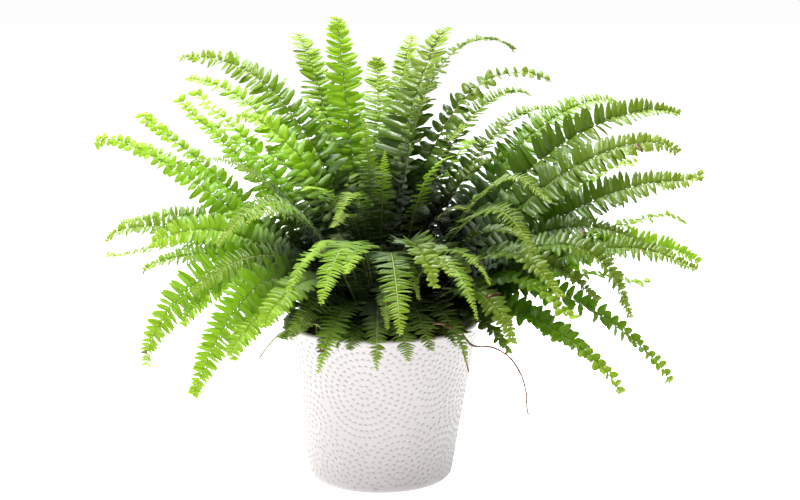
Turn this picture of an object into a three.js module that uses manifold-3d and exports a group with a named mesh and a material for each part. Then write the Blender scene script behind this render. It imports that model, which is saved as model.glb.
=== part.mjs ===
// A sword fern growing in a white tapered pot. Millimetres, +Z up, the pot stands on z = 0.
// The viewer of the front stands at -Y. Azimuths are in degrees: 0 is +X, 90 is +Y, 270 is the front.
import * as THREE from 'three';
import { mergeVertices } from 'three/addons/utils/BufferGeometryUtils.js';
import Module from 'manifold-3d';

const wasm = await Module();
wasm.setup();

// ---------------------------------------------------------------- driving dimensions
const GAP = 0.35; // air between pieces that touch

const POT_HEIGHT = 143;
const POT_TOP_RADIUS = 86.4;
const POT_FOOT_RADIUS = 62.4;
const POT_FOOT_ROUNDING = 7;
const POT_WALL = 5;
const POT_FLOOR = 8;
const POT_LIP_ROUNDING = 2.4;
const POT_WALL_LEAN = 10; // degrees that the foot's rounding stops short of level, to meet the leaning wall
const POT_FOOT_STEPS = 3; // facets in the foot's rounding
const POT_LIP_STEPS = 2; // and in each half of the lip's
const POT_SIDES = 36;

const SOIL_TOP = 126;
const SOIL_SETTLED = 2; // how much lower the soil lies at the pot's wall
const SOIL_SIDES = 24;

const CROWN_RADIUS = 54;
const CROWN_DEPTH = 18; // how far the rootstock sits down in the soil
const CROWN_EDGE = 129;
const CROWN_PEAK = 137;
const CROWN_SIDES = 16;
const CROWN_RINGS = [1, 0.75, 0.45]; // shares of its radius at which the mound has a ring of corners

const ROOTS_FROM = 6; // distance of the steepest frond's stalk from the axis
const ROOTS_TO = 49; // and of the lowest one's
const ROOTS_STEEPEST = 82; // degrees from level at which a stalk stands at ROOTS_FROM
const ROOTS_CURVE = 0.8; // below 1, leaning stalks move out sooner
const ROOT_SPACING = 9.5; // least distance between neighbouring stalks on the rootstock
const ROOT_ROUNDS = 80; // rounds of pushing them apart
const ROOT_PUSH = 0.25; // share of what is lacking that each of two stalks gives way in a round
const STEM_SUNK = 10; // length of a stalk inside its hole
const STEM_STRAIGHT = 3; // length that stays upright above the hole
const HOLE_ABOVE = 12; // how far the cut for a hole runs on above the stalk's foot
const STEM_HALF = 1.55; // half of a stalk's width at its foot
const RIB_HALF_START = 1.3; // half of the rib's width and thickness just above it
const RIB_HALF_END = 0.5; // half of the rib's width at the frond's tip
const RIB_THICK_END = 0.45; // half of its thickness there
const RIB_SLIM_AT = 0.5; // share of the rib at which that thickness is reached
const LEAF_HALF_THICK = 0.34;
const BARE_SHARE = 0.17; // share of the rib below the first leaflets
const LEAFY_END = 0.975; // share at which the last leaflets end
const CROWDING = 0.25; // how much closer the leaflets stand towards the tip
const PAIR_LENGTH = 44; // length of rib for each pair of leaflets
const FEWEST_PAIRS = 3;
const MOST_PAIRS = 8;
const JOINED_LENGTH = 40; // length over which two stalks of one tuft may share a foot
const TWIST_SHARE = 0.3; // share of the rib over which the blade turns to its final roll
const LEAF_REAR = 0.2; // where in its bay a leaflet's end begins, as a share of the bay
const LEAF_FRONT = 0.8; // and where it ends
const LEAF_EAR = 0.86; // length of the rear corner against the front corner
const POINTED_PAIRS = 3; // the last pairs end in a point instead
const LEAF_SWEEP_FOOT = 6; // degrees that the first leaflets lean forward
const LEAF_SWEEP_TIP = 40; // degrees that the last ones do
const LEAF_RISE = 0.26; // how fast the leaflets reach their full length above the bare stalk
const BENDS = [0, 24, -24, 48, -48, 72, -72]; // folds tried, in this order, by a leaflet that is in the way
const BEND_ROUNDS = 14; // rounds of folding before a frond is left as it is
const STUB = 0.12; // share of its length left to a leaflet that finds no free place

const RUNNER_RADIUS = 0.7;
const RUNNER_SIDES = 4;
const RUNNER_STEPS = 14;
const RUNNER_HOLE_DEEPER = 1; // depth of a runner's hole below its end

const degrees = THREE.MathUtils.degToRad;
const vec = (x, y, z) => new THREE.Vector3(x, y, z);

// ---------------------------------------------------------------- materials
const paint = (color, roughness) => new THREE.MeshStandardMaterial({ color, roughness, metalness: 0 });
const POT_WHITE = paint(0xeeeeee, 0.55);
const SOIL_BROWN = paint(0x2e2118, 0.95);
const CROWN_BROWN = paint(0x4a3a22, 0.9);
const RUNNER_BROWN = paint(0x7a5230, 0.7);
const RUNNER_GREEN = paint(0x8a9a4a, 0.6);
const FRESH = paint(0x7fb52a, 0.45); // backlit yellow-green
const GREEN = paint(0x4f9431, 0.45);
const DEEP = paint(0x2f6e3c, 0.4); // darker, with a cool sheen

// ---------------------------------------------------------------- solids
function toSolid(geometry) {
  const bare = new THREE.BufferGeometry();
  bare.setAttribute('position', geometry.getAttribute('position'));
  bare.setIndex(geometry.index);
  const merged = mergeVertices(bare, 1e-4);
  return new wasm.Manifold(new wasm.Mesh({
    numProp: 3,
    vertProperties: merged.getAttribute('position').array,
    triVerts: new Uint32Array(merged.index.array),
  }));
}

function toGeometry(solid) {
  const mesh = solid.getMesh();
  const geometry = new THREE.BufferGeometry();
  geometry.setAttribute('position', new THREE.BufferAttribute(mesh.vertProperties, 3));
  geometry.setIndex(new THREE.BufferAttribute(mesh.triVerts, 1));
  geometry.computeVertexNormals();
  return geometry;
}

function lathe(profile, sides) {
  const points = profile.map(([radius, height]) => new THREE.Vector2(radius, height));
  const geometry = new THREE.LatheGeometry(points, sides);
  geometry.rotateX(Math.PI / 2);
  return geometry;
}

// Corner points of a rounding, from one angle to another about its centre.
function rounding(radius, height, size, from, to, steps) {
  return Array.from({ length: steps + 1 }, (_, i) => {
    const angle = degrees(from + ((to - from) * i) / steps);
    return [radius + size * Math.cos(angle), height + size * Math.sin(angle)];
  });
}

// ---------------------------------------------------------------- pot, soil and rootstock
const potSlope = (POT_TOP_RADIUS - POT_FOOT_RADIUS) / POT_HEIGHT;
const outerRadius = (z) => POT_FOOT_RADIUS + potSlope * z;
const innerRadius = (z) => outerRadius(z) - POT_WALL;

function potProfile() {
  const lip = POT_LIP_ROUNDING;
  const foot = POT_FOOT_ROUNDING;
  const lipCentre = POT_TOP_RADIUS - lip;
  return [
    [0, 0],
    ...rounding(outerRadius(foot) - foot, foot, foot, -90, -POT_WALL_LEAN, POT_FOOT_STEPS),
    ...rounding(lipCentre, POT_HEIGHT - lip, lip, 0, 90, POT_LIP_STEPS),
    ...rounding(POT_TOP_RADIUS - POT_WALL + lip, POT_HEIGHT - lip, lip, 90, 180, POT_LIP_STEPS),
    [innerRadius(POT_FLOOR), POT_FLOOR],
    [0, POT_FLOOR],
  ];
}

function soilSolid() {
  const floor = POT_FLOOR + GAP;
  const top = SOIL_TOP - SOIL_SETTLED;
  const profile = [
    [0, floor],
    [innerRadius(floor) - 2 * GAP, floor],
    [innerRadius(top) - 2 * GAP, top],
    [(CROWN_RADIUS + innerRadius(top)) / 2, SOIL_TOP],
    [CROWN_RADIUS + GAP, SOIL_TOP],
    [CROWN_RADIUS + GAP, SOIL_TOP - CROWN_DEPTH - GAP],
    [0, SOIL_TOP - CROWN_DEPTH - GAP],
  ];
  return toSolid(lathe(profile, SOIL_SIDES));
}

// Height of the rootstock's low mound at a distance from the axis.
const mound = (radius) => CROWN_PEAK - (CROWN_PEAK - CROWN_EDGE) * (radius / CROWN_RADIUS) ** 2;

function crownSolid() {
  const edge = (CROWN_RADIUS + GAP) * Math.cos(Math.PI / SOIL_SIDES) - GAP;
  const profile = [
    [0, SOIL_TOP - CROWN_DEPTH],
    [edge, SOIL_TOP - CROWN_DEPTH],
    [edge, SOIL_TOP],
    ...CROWN_RINGS.map((share) => [edge * share, mound(CROWN_RADIUS * share)]),
    [0, mound(0)],
  ];
  return toSolid(lathe(profile, CROWN_SIDES));
}

// A plain square hole for a stalk, from a depth below a point to well above the surface.
function stemHole(at, azimuth, half, depth) {
  const box = new THREE.BoxGeometry(2 * half, 2 * half, depth + HOLE_ABOVE);
  box.rotateZ(degrees(azimuth));
  box.translate(at.x, at.y, at.z + (HOLE_ABOVE - depth) / 2);
  return toSolid(box);
}

// ---------------------------------------------------------------- a thin solid from one outline
// The same triangles lie on both faces, and walls join them round the outline.
function thinSolid(points, faces, outline) {
  const vertices = [];
  for (const sign of [1, -1]) {
    for (const { at, normal, half } of points) {
      vertices.push(...at.clone().addScaledVector(normal, sign * half).toArray());
    }
  }
  const under = points.length;
  const index = [];
  for (const [a, b, c] of faces) {
    index.push(a, b, c, under + a, under + c, under + b);
  }
  outline.forEach((p, i) => {
    const q = outline[(i + 1) % outline.length];
    index.push(under + p, under + q, q, under + p, q, p);
  });
  const geometry = new THREE.BufferGeometry();
  geometry.setAttribute('position', new THREE.Float32BufferAttribute(vertices, 3));
  geometry.setIndex(index);
  return geometry;
}

// ---------------------------------------------------------------- fronds
// Habits: how fast the leaflets shorten towards the tip, and the degrees that both rows fold up from flat.
const BROAD = { taper: 0.36, fold: 13 };
const TAPERED = { taper: 0.72, fold: 28 };
const AIRY = { taper: 0.72, fold: 20 };
const COMB = { taper: 0.72, fold: 10 };
const BEADED = { taper: 0.95, fold: 18 };
const POINTED = { taper: 0.85, fold: 6 };

// Share of the full leaflet length at a share v of the blade; it is 1 at its longest.
function envelope(v, taper) {
  const peak = LEAF_RISE / (LEAF_RISE + taper);
  return (v / peak) ** LEAF_RISE * ((1 - v) / (1 - peak)) ** taper;
}

const outward = (azimuth) => vec(Math.cos(degrees(azimuth)), Math.sin(degrees(azimuth)), 0);

// The rib is a quadratic curve in the frond's upright plane, from its root over a bend to its tip.
function ribOf({ root, azimuth, reach, tipHeight, bendShare, bendHeight, turn }) {
  const out = outward(azimuth);
  const across = vec(-out.y, out.x, 0);
  const tip = out.clone().multiplyScalar(reach).setZ(tipHeight);
  const bend = out.clone().multiplyScalar(bendShare * reach).setZ(bendHeight);
  const curve = new THREE.QuadraticBezierCurve3(root, bend, tip);
  return { curve, across, turn: out.x >= 0 ? turn : -turn };
}

// Position, forward direction, sideways direction and face normal of the blade at a share u of the rib.
function frameAt({ curve, across, turn }, u) {
  const at = curve.getPointAt(u);
  const forward = curve.getTangentAt(u);
  const up = forward.clone().cross(across).normalize();
  const level = up.clone().cross(forward).normalize();
  const roll = degrees(turn) * Math.min(1, u / TWIST_SHARE);
  const side = level.clone().multiplyScalar(Math.cos(roll)).addScaledVector(up, Math.sin(roll));
  const normal = up.clone().multiplyScalar(Math.cos(roll)).addScaledVector(level, -Math.sin(roll));
  return { at, forward, side, normal };
}

// The longer the rib, the more pairs of leaflets it carries.
function pairsOf(frond) {
  const pairs = Math.round(ribOf(frond).curve.getLength() / PAIR_LENGTH);
  return THREE.MathUtils.clamp(pairs, FEWEST_PAIRS, MOST_PAIRS);
}

// Shares of the rib at which one pair of leaflets ends and the next begins, closer towards the tip.
function baysOf({ pairs }) {
  return Array.from({ length: pairs + 1 }, (_, i) => {
    const even = i / pairs;
    const crowded = Math.sin((even * Math.PI) / 2);
    return THREE.MathUtils.lerp(BARE_SHARE, LEAFY_END, THREE.MathUtils.lerp(even, crowded, CROWDING));
  });
}

// One frond as a thin solid. folds[side][pair] holds each leaflet's fold in degrees, or null for a stub.
// grow fattens it all round, for testing that it clears its neighbours.
function frondGeometry(frond, folds, grow = 0) {
  const rib = ribOf(frond);
  const bays = baysOf(frond);
  const points = [];
  const faces = [];
  const right = [];
  const left = [];
  const add = (at, normal, half) => points.push({ at, normal, half: half + grow }) - 1;

  const station = (at, side, normal, halfWidth, halfThick) => {
    right.push(add(at.clone().addScaledVector(side, -halfWidth - grow), normal, halfThick));
    left.push(add(at.clone().addScaledVector(side, halfWidth + grow), normal, halfThick));
  };
  const cross = (r, l) => {
    faces.push([r[0], r[1], l[1]], [r[0], l[1], l[0]]);
  };

  // The stalk: upright in its hole, then along the rib.
  const inward = outward(frond.footAzimuth).negate();
  const level = vec(inward.y, -inward.x, 0);
  for (const depth of [STEM_SUNK + STEM_STRAIGHT, 0]) {
    station(frond.root.clone().setZ(frond.root.z - depth), level, inward, STEM_HALF, STEM_HALF);
  }
  for (const u of [BARE_SHARE / 2, ...bays]) {
    const { at, side, normal } = frameAt(rib, u);
    const slim = Math.min(1, u / RIB_SLIM_AT);
    station(
      at, side, normal,
      THREE.MathUtils.lerp(RIB_HALF_START, RIB_HALF_END, u),
      THREE.MathUtils.lerp(RIB_HALF_START, RIB_THICK_END, slim),
    );
  }
  for (let i = 0; i + 1 < right.length; i++) cross([right[i], right[i + 1]], [left[i], left[i + 1]]);

  // The leaflets, cut to the rib.
  const first = right.length - bays.length;
  const rightEdge = right.slice(0, first + 1);
  const leftEdge = left.slice(0, first + 1);
  for (let pair = 0; pair < frond.pairs; pair++) {
    const [from, to] = [bays[pair], bays[pair + 1]];
    const v = (0.5 * (from + to) - BARE_SHARE) / (1 - BARE_SHARE);
    const sweep = degrees(THREE.MathUtils.lerp(LEAF_SWEEP_FOOT, LEAF_SWEEP_TIP, v ** 2));
    for (const sign of [-1, 1]) {
      const fold = folds[sign < 0 ? 0 : 1][pair];
      const length = frond.leaf * envelope(v, frond.taper) * (fold === null ? STUB : 1) + grow;
      const angle = degrees(fold === null ? 0 : fold + frond.fold);
      const blunt = frond.pairs - pair > POINTED_PAIRS;
      const ends = blunt ? [[LEAF_REAR, LEAF_EAR], [LEAF_FRONT, 1]] : [[LEAF_FRONT, 1]];
      const corners = ends.map(([share, size]) => {
        const { at, forward, side, normal } = frameAt(rib, THREE.MathUtils.lerp(from, to, share));
        const [rise, flat] = [Math.sin(angle), sign * Math.cos(angle)];
        const out = side.clone().multiplyScalar(flat).addScaledVector(normal, rise);
        const face = normal.clone().multiplyScalar(Math.cos(angle)).addScaledVector(side, -sign * rise);
        const end = at.addScaledVector(out, length * size * Math.cos(sweep));
        end.addScaledVector(forward, length * size * Math.sin(sweep));
        return add(end, face, LEAF_HALF_THICK);
      });
      const edge = sign < 0 ? right : left;
      const [here, next] = [edge[first + pair], edge[first + pair + 1]];
      const loop = [...corners, next];
      for (let i = 0; i + 1 < loop.length; i++) {
        faces.push(sign < 0 ? [here, loop[i], loop[i + 1]] : [here, loop[i + 1], loop[i]]);
      }
      (sign < 0 ? rightEdge : leftEdge).push(...loop);
    }
  }
  const end = frameAt(rib, 1);
  const apex = add(end.at, end.normal, RIB_THICK_END);
  faces.push([right.at(-1), apex, left.at(-1)]);
  return thinSolid(points, faces, [...rightEdge, apex, ...leftEdge.reverse()]);
}

// Middle of each leaflet, to tell which one is in the way.
function leafletMiddles(frond, folds) {
  const rib = ribOf(frond);
  const bays = baysOf(frond);
  const middles = [];
  for (let pair = 0; pair < frond.pairs; pair++) {
    const u = (bays[pair] + bays[pair + 1]) / 2;
    const v = (u - BARE_SHARE) / (1 - BARE_SHARE);
    const { at, side, normal } = frameAt(rib, u);
    for (const sign of [-1, 1]) {
      const fold = (folds[sign < 0 ? 0 : 1][pair] ?? 0) + frond.fold;
      const reach = 0.5 * frond.leaf * envelope(v, frond.taper);
      const out = side.clone().multiplyScalar(sign * Math.cos(degrees(fold)))
        .addScaledVector(normal, Math.sin(degrees(fold)));
      middles.push({ pair, row: sign < 0 ? 0 : 1, at: at.clone().addScaledVector(out, reach) });
    }
  }
  return middles;
}

const boxOf = (solid) => {
  const { min, max } = solid.boundingBox();
  return new THREE.Box3(vec(...min), vec(...max));
};
const withBox = (solid) => ({ solid, box: boxOf(solid) });

// Leaflets that run into a neighbour are folded step by step until the frond is clear of it.
// Fronds of one tuft grow together at their feet, so what they share there is left alone.
function clearFolds(frond, obstacles, twins) {
  const step = [0, 1].map(() => new Array(frond.pairs).fill(0));
  const foldsNow = () => step.map((row) => row.map((s) => (s < BENDS.length ? BENDS[s] : null)));
  for (let round = 0; round < BEND_ROUNDS; round++) {
    const fat = toSolid(frondGeometry(frond, foldsNow(), GAP));
    const box = boxOf(fat);
    const middles = leafletMiddles(frond, foldsNow());
    const hits = new Set();
    for (const other of [...obstacles, ...twins]) {
      if (!box.intersectsBox(other.box)) continue;
      const shared = fat.intersect(other.solid);
      if (shared.isEmpty()) continue;
      for (const scrap of shared.decompose()) {
        const centre = boxOf(scrap).getCenter(vec(0, 0, 0));
        if (twins.includes(other) && centre.distanceTo(frond.root) < JOINED_LENGTH) continue;
        middles.sort((a, b) => a.at.distanceTo(centre) - b.at.distanceTo(centre));
        hits.add(middles[0].row * frond.pairs + middles[0].pair);
      }
    }
    if (!hits.size) break;
    for (const hit of hits) step[Math.floor(hit / frond.pairs)][hit % frond.pairs] += 1;
  }
  return foldsNow();
}

// ---------------------------------------------------------------- the plant
// Each line is one tuft: its name, tone and habit, then its one to four fronds.
// A frond is [azimuth, reach from the axis, tip height, bend's share of the reach, bend height,
// leaflet length, roll towards the front].
const TUFTS = [
  ['top_1', FRESH, BROAD, [118, 85, 405, 0.7, 300, 21, 0], [130, 65, 285, 0.4, 250, 16, 0]],
  ['top_2', GREEN, BROAD, [123, 140, 390, 0.5, 290, 20, 0]],
  ['top_3', DEEP, TAPERED, [56, 110, 400, 0.1, 310, 24, 0], [40, 100, 305, 0.4, 285, 16, 0]],
  ['top_4', GREEN, BROAD, [76, 120, 385, 0.2, 305, 16, 0], [92, 130, 360, 0.3, 275, 18, 0]],
  ['top_5', DEEP, AIRY, [25, 135, 380, 0.1, 425, 13, 0], [24, 120, 280, 0.45, 270, 16, 0]],
  ['top_6', DEEP, BEADED, [12, 155, 350, 0.3, 400, 18, 30], [44, 55, 335, 0.3, 285, 15, 0]],
  ['top_7', DEEP, AIRY, [43, 190, 330, 0.4, 350, 13, 20], [33, 190, 315, 0.6, 340, 14, 20]],
  ['top_8', GREEN, AIRY, [171, 180, 370, 0.35, 390, 18, 45]],
  ['top_9', FRESH, AIRY, [153, 200, 345, 0.45, 350, 16, 30]],
  ['top_10', FRESH, AIRY, [190, 125, 330, 0.4, 305, 18, 40]],
  ['top_11', GREEN, BEADED, [133, 100, 330, 0.4, 280, 18, 0], [138, 245, 305, 0.45, 270, 12, 0]],
  ['top_12', FRESH, POINTED, [170, 15, 330, 0.5, 255, 16, 60], [275, 50, 300, 0.3, 265, 16, 0]],
  ['left_1', FRESH, BEADED, [147, 210, 330, 0.5, 280, 16, 30]],
  ['left_2', FRESH, BEADED, [163, 195, 330, 0.55, 275, 14, 30], [170, 220, 320, 0.6, 265, 14, 40]],
  ['left_3', FRESH, BEADED, [179, 250, 310, 0.55, 270, 15, 50]],
  ['left_4', GREEN, BEADED, [154, 260, 285, 0.6, 260, 13, 30], [150, 120, 285, 0.45, 260, 16, 10]],
  ['left_5', DEEP, COMB, [196, 165, 290, 0.55, 305, 14, 20]],
  ['left_6', GREEN, TAPERED, [176, 250, 215, 0.5, 250, 15, 40], [184, 210, 190, 0.55, 230, 14, 30]],
  ['left_7', GREEN, TAPERED, [167, 245, 215, 0.5, 260, 14, 30], [161, 270, 175, 0.5, 240, 13, 20]],
  ['left_8', GREEN, COMB, [216, 165, 225, 0.55, 320, 16, 20], [208, 130, 240, 0.5, 275, 15, 20]],
  ['left_9', FRESH, TAPERED, [196, 215, 115, 0.65, 270, 17, 60], [208, 110, 150, 0.6, 180, 14, 0],
    [214, 100, 140, 0.65, 175, 15, 0]],
  ['left_10', FRESH, TAPERED, [215, 190, 100, 0.6, 265, 17, 50], [221, 110, 140, 0.6, 170, 15, 0]],
  ['left_11', FRESH, BROAD, [222, 170, 135, 0.5, 225, 15, 20], [230, 150, 165, 0.45, 230, 16, 20],
    [228, 100, 150, 0.6, 180, 13, 0]],
  ['left_12', GREEN, COMB, [206, 175, 180, 0.55, 255, 17, 40], [235, 130, 150, 0.5, 210, 15, 20],
    [236, 85, 215, 0.45, 260, 13, 0], [240, 100, 135, 0.65, 175, 15, 0]],
  ['left_13',FRESH, BROAD, [189, 200, 215, 0.6, 260, 17, 50], [199, 180, 150, 0.6, 245, 15, 30]],
  ['front_1', FRESH, POINTED, [248, 135, 125, 0.45, 210, 18, 0], [239, 150, 185, 0.6, 270, 15, 0],
    [244, 140, 215, 0.45, 265, 15, 0], [250, 105, 140, 0.6, 175, 13, 0]],
  ['front_2', GREEN, POINTED, [269, 130, 130, 0.4, 210, 18, 0], [273, 130, 165, 0.4, 220, 14, 0],
    [286, 120, 185, 0.4, 255, 13, 0]],
  ['front_3', GREEN, POINTED, [305, 130, 130, 0.55, 210, 16, 0], [299, 165, 175, 0.6, 270, 16, 0],
    [306, 110, 140, 0.6, 170, 15, 0], [308, 150, 200, 0.5, 260, 14, 0]],
  ['front_4', GREEN, COMB, [276, 170, 170, 0.35, 280, 18, 0], [291, 120, 140, 0.5, 210, 16, 0],
    [281, 125, 135, 0.5, 200, 15, 0]],
  ['front_5', FRESH, COMB, [253, 160, 190, 0.4, 285, 17, 0], [259, 140, 210, 0.4, 260, 16, 0],
    [257, 110, 140, 0.6, 170, 15, 0]],
  ['front_6', DEEP, AIRY, [287, 155, 205, 0.4, 270, 16, 0], [311, 115, 190, 0.55, 270, 15, 0],
    [294, 150, 205, 0.4, 265, 14, 0]],
  ['front_7', FRESH, POINTED, [318, 85, 295, 0.4, 290, 17, 0], [326, 140, 150, 0.55, 215, 16, 10]],
  ['front_8', FRESH, COMB, [248, 95, 245, 0.3, 310, 12, 0], [226, 95, 270, 0.35, 275, 15, 0],
    [244, 90, 235, 0.4, 280, 13, 0]],
  ['right_1', DEEP, TAPERED, [4, 265, 325, 0.55, 340, 21, 50]],
  ['right_2', GREEN, TAPERED, [26, 255, 325, 0.55, 345, 17, 30]],
  ['right_3', DEEP, TAPERED, [354, 260, 300, 0.65, 325, 19, 50]],
  ['right_4', GREEN, BEADED, [14, 250, 285, 0.7, 290, 15, 20], [23, 260, 270, 0.75, 265, 16, 20]],
  ['right_5', DEEP, TAPERED, [0, 285, 260, 0.7, 290, 19, 45], [6, 215, 240, 0.6, 285, 16, 30]],
  ['right_6', GREEN, BEADED, [18, 300, 220, 0.75, 230, 14, 10], [8, 245, 160, 0.7, 205, 15, 10]],
  ['right_7', FRESH, TAPERED, [356, 280, 195, 0.75, 250, 17, 45]],
  ['right_8', DEEP, TAPERED, [347, 275, 195, 0.75, 255, 16, 30], [352, 230, 215, 0.6, 265, 15, 30]],
  ['right_9', DEEP, TAPERED, [339, 225, 160, 0.85, 290, 16, 20], [333, 150, 215, 0.6, 270, 15, 0],
    [342, 195, 170, 0.65, 250, 15, 20]],
  ['right_10', GREEN, BEADED, [348, 260, 100, 0.5, 235, 16, 35], [328, 190, 160, 0.65, 235, 15, 10],
    [338, 110, 150, 0.6, 175, 13, 0]],
  ['right_11', GREEN, BEADED, [333, 230, 105, 0.5, 205, 16, 20], [342, 205, 110, 0.55, 200, 16, 20]],
  ['right_12', DEEP, COMB, [320, 165, 215, 0.75, 320, 18, 10], [330, 160, 255, 0.75, 335, 18, 10],
    [330, 100, 240, 0.5, 280, 14, 0]],
  ['right_13', DEEP, TAPERED, [321, 190, 185, 0.7, 270, 16, 10], [312, 165, 150, 0.7, 230, 15, 10],
    [314, 105, 145, 0.6, 175, 13, 0], [325, 135, 130, 0.6, 190, 15, 0]],
  ['back_1', GREEN, BROAD, [58, 195, 275, 0.55, 310, 17, 0], [62, 120, 260, 0.5, 260, 16, 0]],
  ['back_2', GREEN, TAPERED, [82, 190, 280, 0.5, 305, 17, 0], [66, 55, 310, 0.4, 260, 16, 0]],
  ['back_3', GREEN, BROAD, [106, 190, 270, 0.55, 295, 17, 0], [104, 110, 260, 0.5, 260, 16, 0]],
  ['back_4', GREEN, TAPERED, [116, 205, 250, 0.55, 270, 17, 0], [98, 95, 290, 0.35, 260, 16, 0]],
  ['back_5', GREEN, BROAD, [36, 230, 200, 0.6, 250, 17, 0], [48, 215, 160, 0.6, 230, 16, 0],
    [28, 110, 150, 0.6, 175, 13, 0]],
  ['back_6', GREEN, TAPERED, [66, 205, 170, 0.6, 240, 17, 0], [77, 190, 130, 0.6, 215, 16, 0]],
  ['back_7', GREEN, BROAD, [92, 205, 165, 0.6, 240, 17, 0], [103, 190, 130, 0.6, 215, 16, 0],
    [92, 110, 150, 0.6, 175, 13, 0]],
  ['back_8', GREEN, TAPERED, [118, 210, 160, 0.6, 240, 17, 0], [137, 225, 170, 0.6, 235, 16, 0],
    [148, 110, 150, 0.6, 175, 13, 0]],
];

const FIELDS = ['azimuth', 'reach', 'tipHeight', 'bendShare', 'bendHeight', 'leaf', 'turn'];
const named = (row) => Object.fromEntries(FIELDS.map((field, i) => [field, row[i]]));
const tufts = TUFTS.map(([name, material, habit, ...rows]) => {
  const fronds = rows.map((row) => ({ ...habit, ...named(row) }));
  const mean = (value) => fronds.reduce((sum, frond) => sum + value(frond), 0) / fronds.length;
  const azimuth = mean((frond) => frond.azimuth);
  return { name, material, fronds, azimuth, root: outward(azimuth).multiplyScalar(mean(rootRadius)) };
});

// How steeply a frond leaves the rootstock; steep ones stand near the middle, low ones near its edge.
function rootRadius({ reach, bendShare, bendHeight }) {
  const rise = Math.atan2(bendHeight - CROWN_PEAK, bendShare * reach);
  const lean = Math.max(0, 1 - rise / degrees(ROOTS_STEEPEST));
  return THREE.MathUtils.lerp(ROOTS_FROM, ROOTS_TO, lean ** ROOTS_CURVE);
}

// Roots that stand too close are pushed apart, and stay within the rootstock.
for (let round = 0; round < ROOT_ROUNDS; round++) {
  for (const a of tufts) {
    for (const b of tufts) {
      const apart = a.root.clone().sub(b.root);
      const short = ROOT_SPACING - apart.length();
      if (a === b || short <= 0) continue;
      a.root.addScaledVector(apart.normalize(), short * ROOT_PUSH);
      b.root.addScaledVector(apart, -short * ROOT_PUSH);
    }
    a.root.clampLength(0, ROOTS_TO);
  }
}
for (const { fronds, root, azimuth } of tufts) {
  root.z = mound(Math.hypot(root.x, root.y)) + STEM_STRAIGHT;
  for (const frond of fronds) {
    Object.assign(frond, { root, footAzimuth: azimuth });
    frond.pairs = pairsOf(frond);
  }
}

// ---------------------------------------------------------------- runners
// Wiry strands that stand in the soil and hang over the rim: [x, y, z] points along each.
const RUNNERS = [
  ['runner_1', RUNNER_BROWN, [
    [38, -59, 119], [39, -61, 134], [46, -74, 155], [60, -88, 154], [69, -95, 140], [75, -98, 119],
  ]],
  ['runner_2', RUNNER_BROWN, [
    [54, -45, 119], [55, -46, 134], [62, -58, 154], [77, -70, 136], [95, -80, 136], [110, -86, 128],
    [120, -90, 112], [124, -90, 92], [126, -90, 80],
  ]],
  ['runner_3', RUNNER_GREEN, [
    [-42, -51, 119], [-43, -52, 134], [-54, -70, 154], [-74, -92, 156], [-90, -104, 146], [-100, -110, 133],
  ]],
];

function runnerSolid(points) {
  const path = new THREE.CatmullRomCurve3(points.map((p) => vec(...p)));
  const outline = new THREE.Shape(Array.from({ length: RUNNER_SIDES }, (_, i) => {
    const angle = (2 * Math.PI * i) / RUNNER_SIDES;
    return new THREE.Vector2(RUNNER_RADIUS * Math.cos(angle), RUNNER_RADIUS * Math.sin(angle));
  }));
  const along = { steps: RUNNER_STEPS, extrudePath: path, bevelEnabled: false };
  return toSolid(new THREE.ExtrudeGeometry(outline, along));
}

// ---------------------------------------------------------------- assembly
const fern = new THREE.Group();
const place = (name, geometry, material) => {
  const mesh = new THREE.Mesh(geometry, material);
  mesh.name = name;
  fern.add(mesh);
};

place('pot', lathe(potProfile(), POT_SIDES), POT_WHITE);

let soil = soilSolid();
const obstacles = [];
for (const [name, material, points] of RUNNERS) {
  const solid = runnerSolid(points);
  soil = soil.subtract(stemHole(vec(...points[0]), 0, RUNNER_RADIUS + 2 * GAP, RUNNER_HOLE_DEEPER));
  obstacles.push(withBox(solid));
  place(name, toGeometry(solid), material);
}

let crown = crownSolid();
for (const { root, azimuth } of tufts) {
  crown = crown.subtract(stemHole(root, azimuth, STEM_HALF + GAP, STEM_SUNK + STEM_STRAIGHT + GAP));
}
place('soil', toGeometry(soil), SOIL_BROWN);
place('crown', toGeometry(crown), CROWN_BROWN);

// Bare ribs of every frond, so that leaflets placed early leave room for stalks placed late.
for (const tuft of tufts) {
  tuft.ribs = tuft.fronds.map((frond) => {
    const none = [0, 1].map(() => new Array(frond.pairs).fill(null));
    return withBox(toSolid(frondGeometry(frond, none)));
  });
}

const placed = [...obstacles];
tufts.forEach(({ name, material, fronds, ribs }, i) => {
  const others = [...placed, ...tufts.slice(i + 1).flatMap((tuft) => tuft.ribs)];
  const done = [];
  fronds.forEach((frond, k) => {
    const folds = clearFolds(frond, others, [...done, ...ribs.slice(k + 1)]);
    done.push(withBox(toSolid(frondGeometry(frond, folds))));
  });
  const tuft = done.map(({ solid }) => solid).reduce((joined, solid) => joined.add(solid));
  placed.push(withBox(tuft));
  place(`frond_${name}`, toGeometry(tuft), material);
});

export default fern;
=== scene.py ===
"""A sword fern in a white pot: fine fronds, pot, soil, rootstock, runners, light and camera.

+Z is up and the pot stands on z = 0; the viewer of the front stands at -Y. Azimuths are in degrees: 0 is +X, 90 is
+Y, 270 is the front. Shapes are worked out in millimetres, and materials, lamps and camera in metres."""

import math

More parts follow.
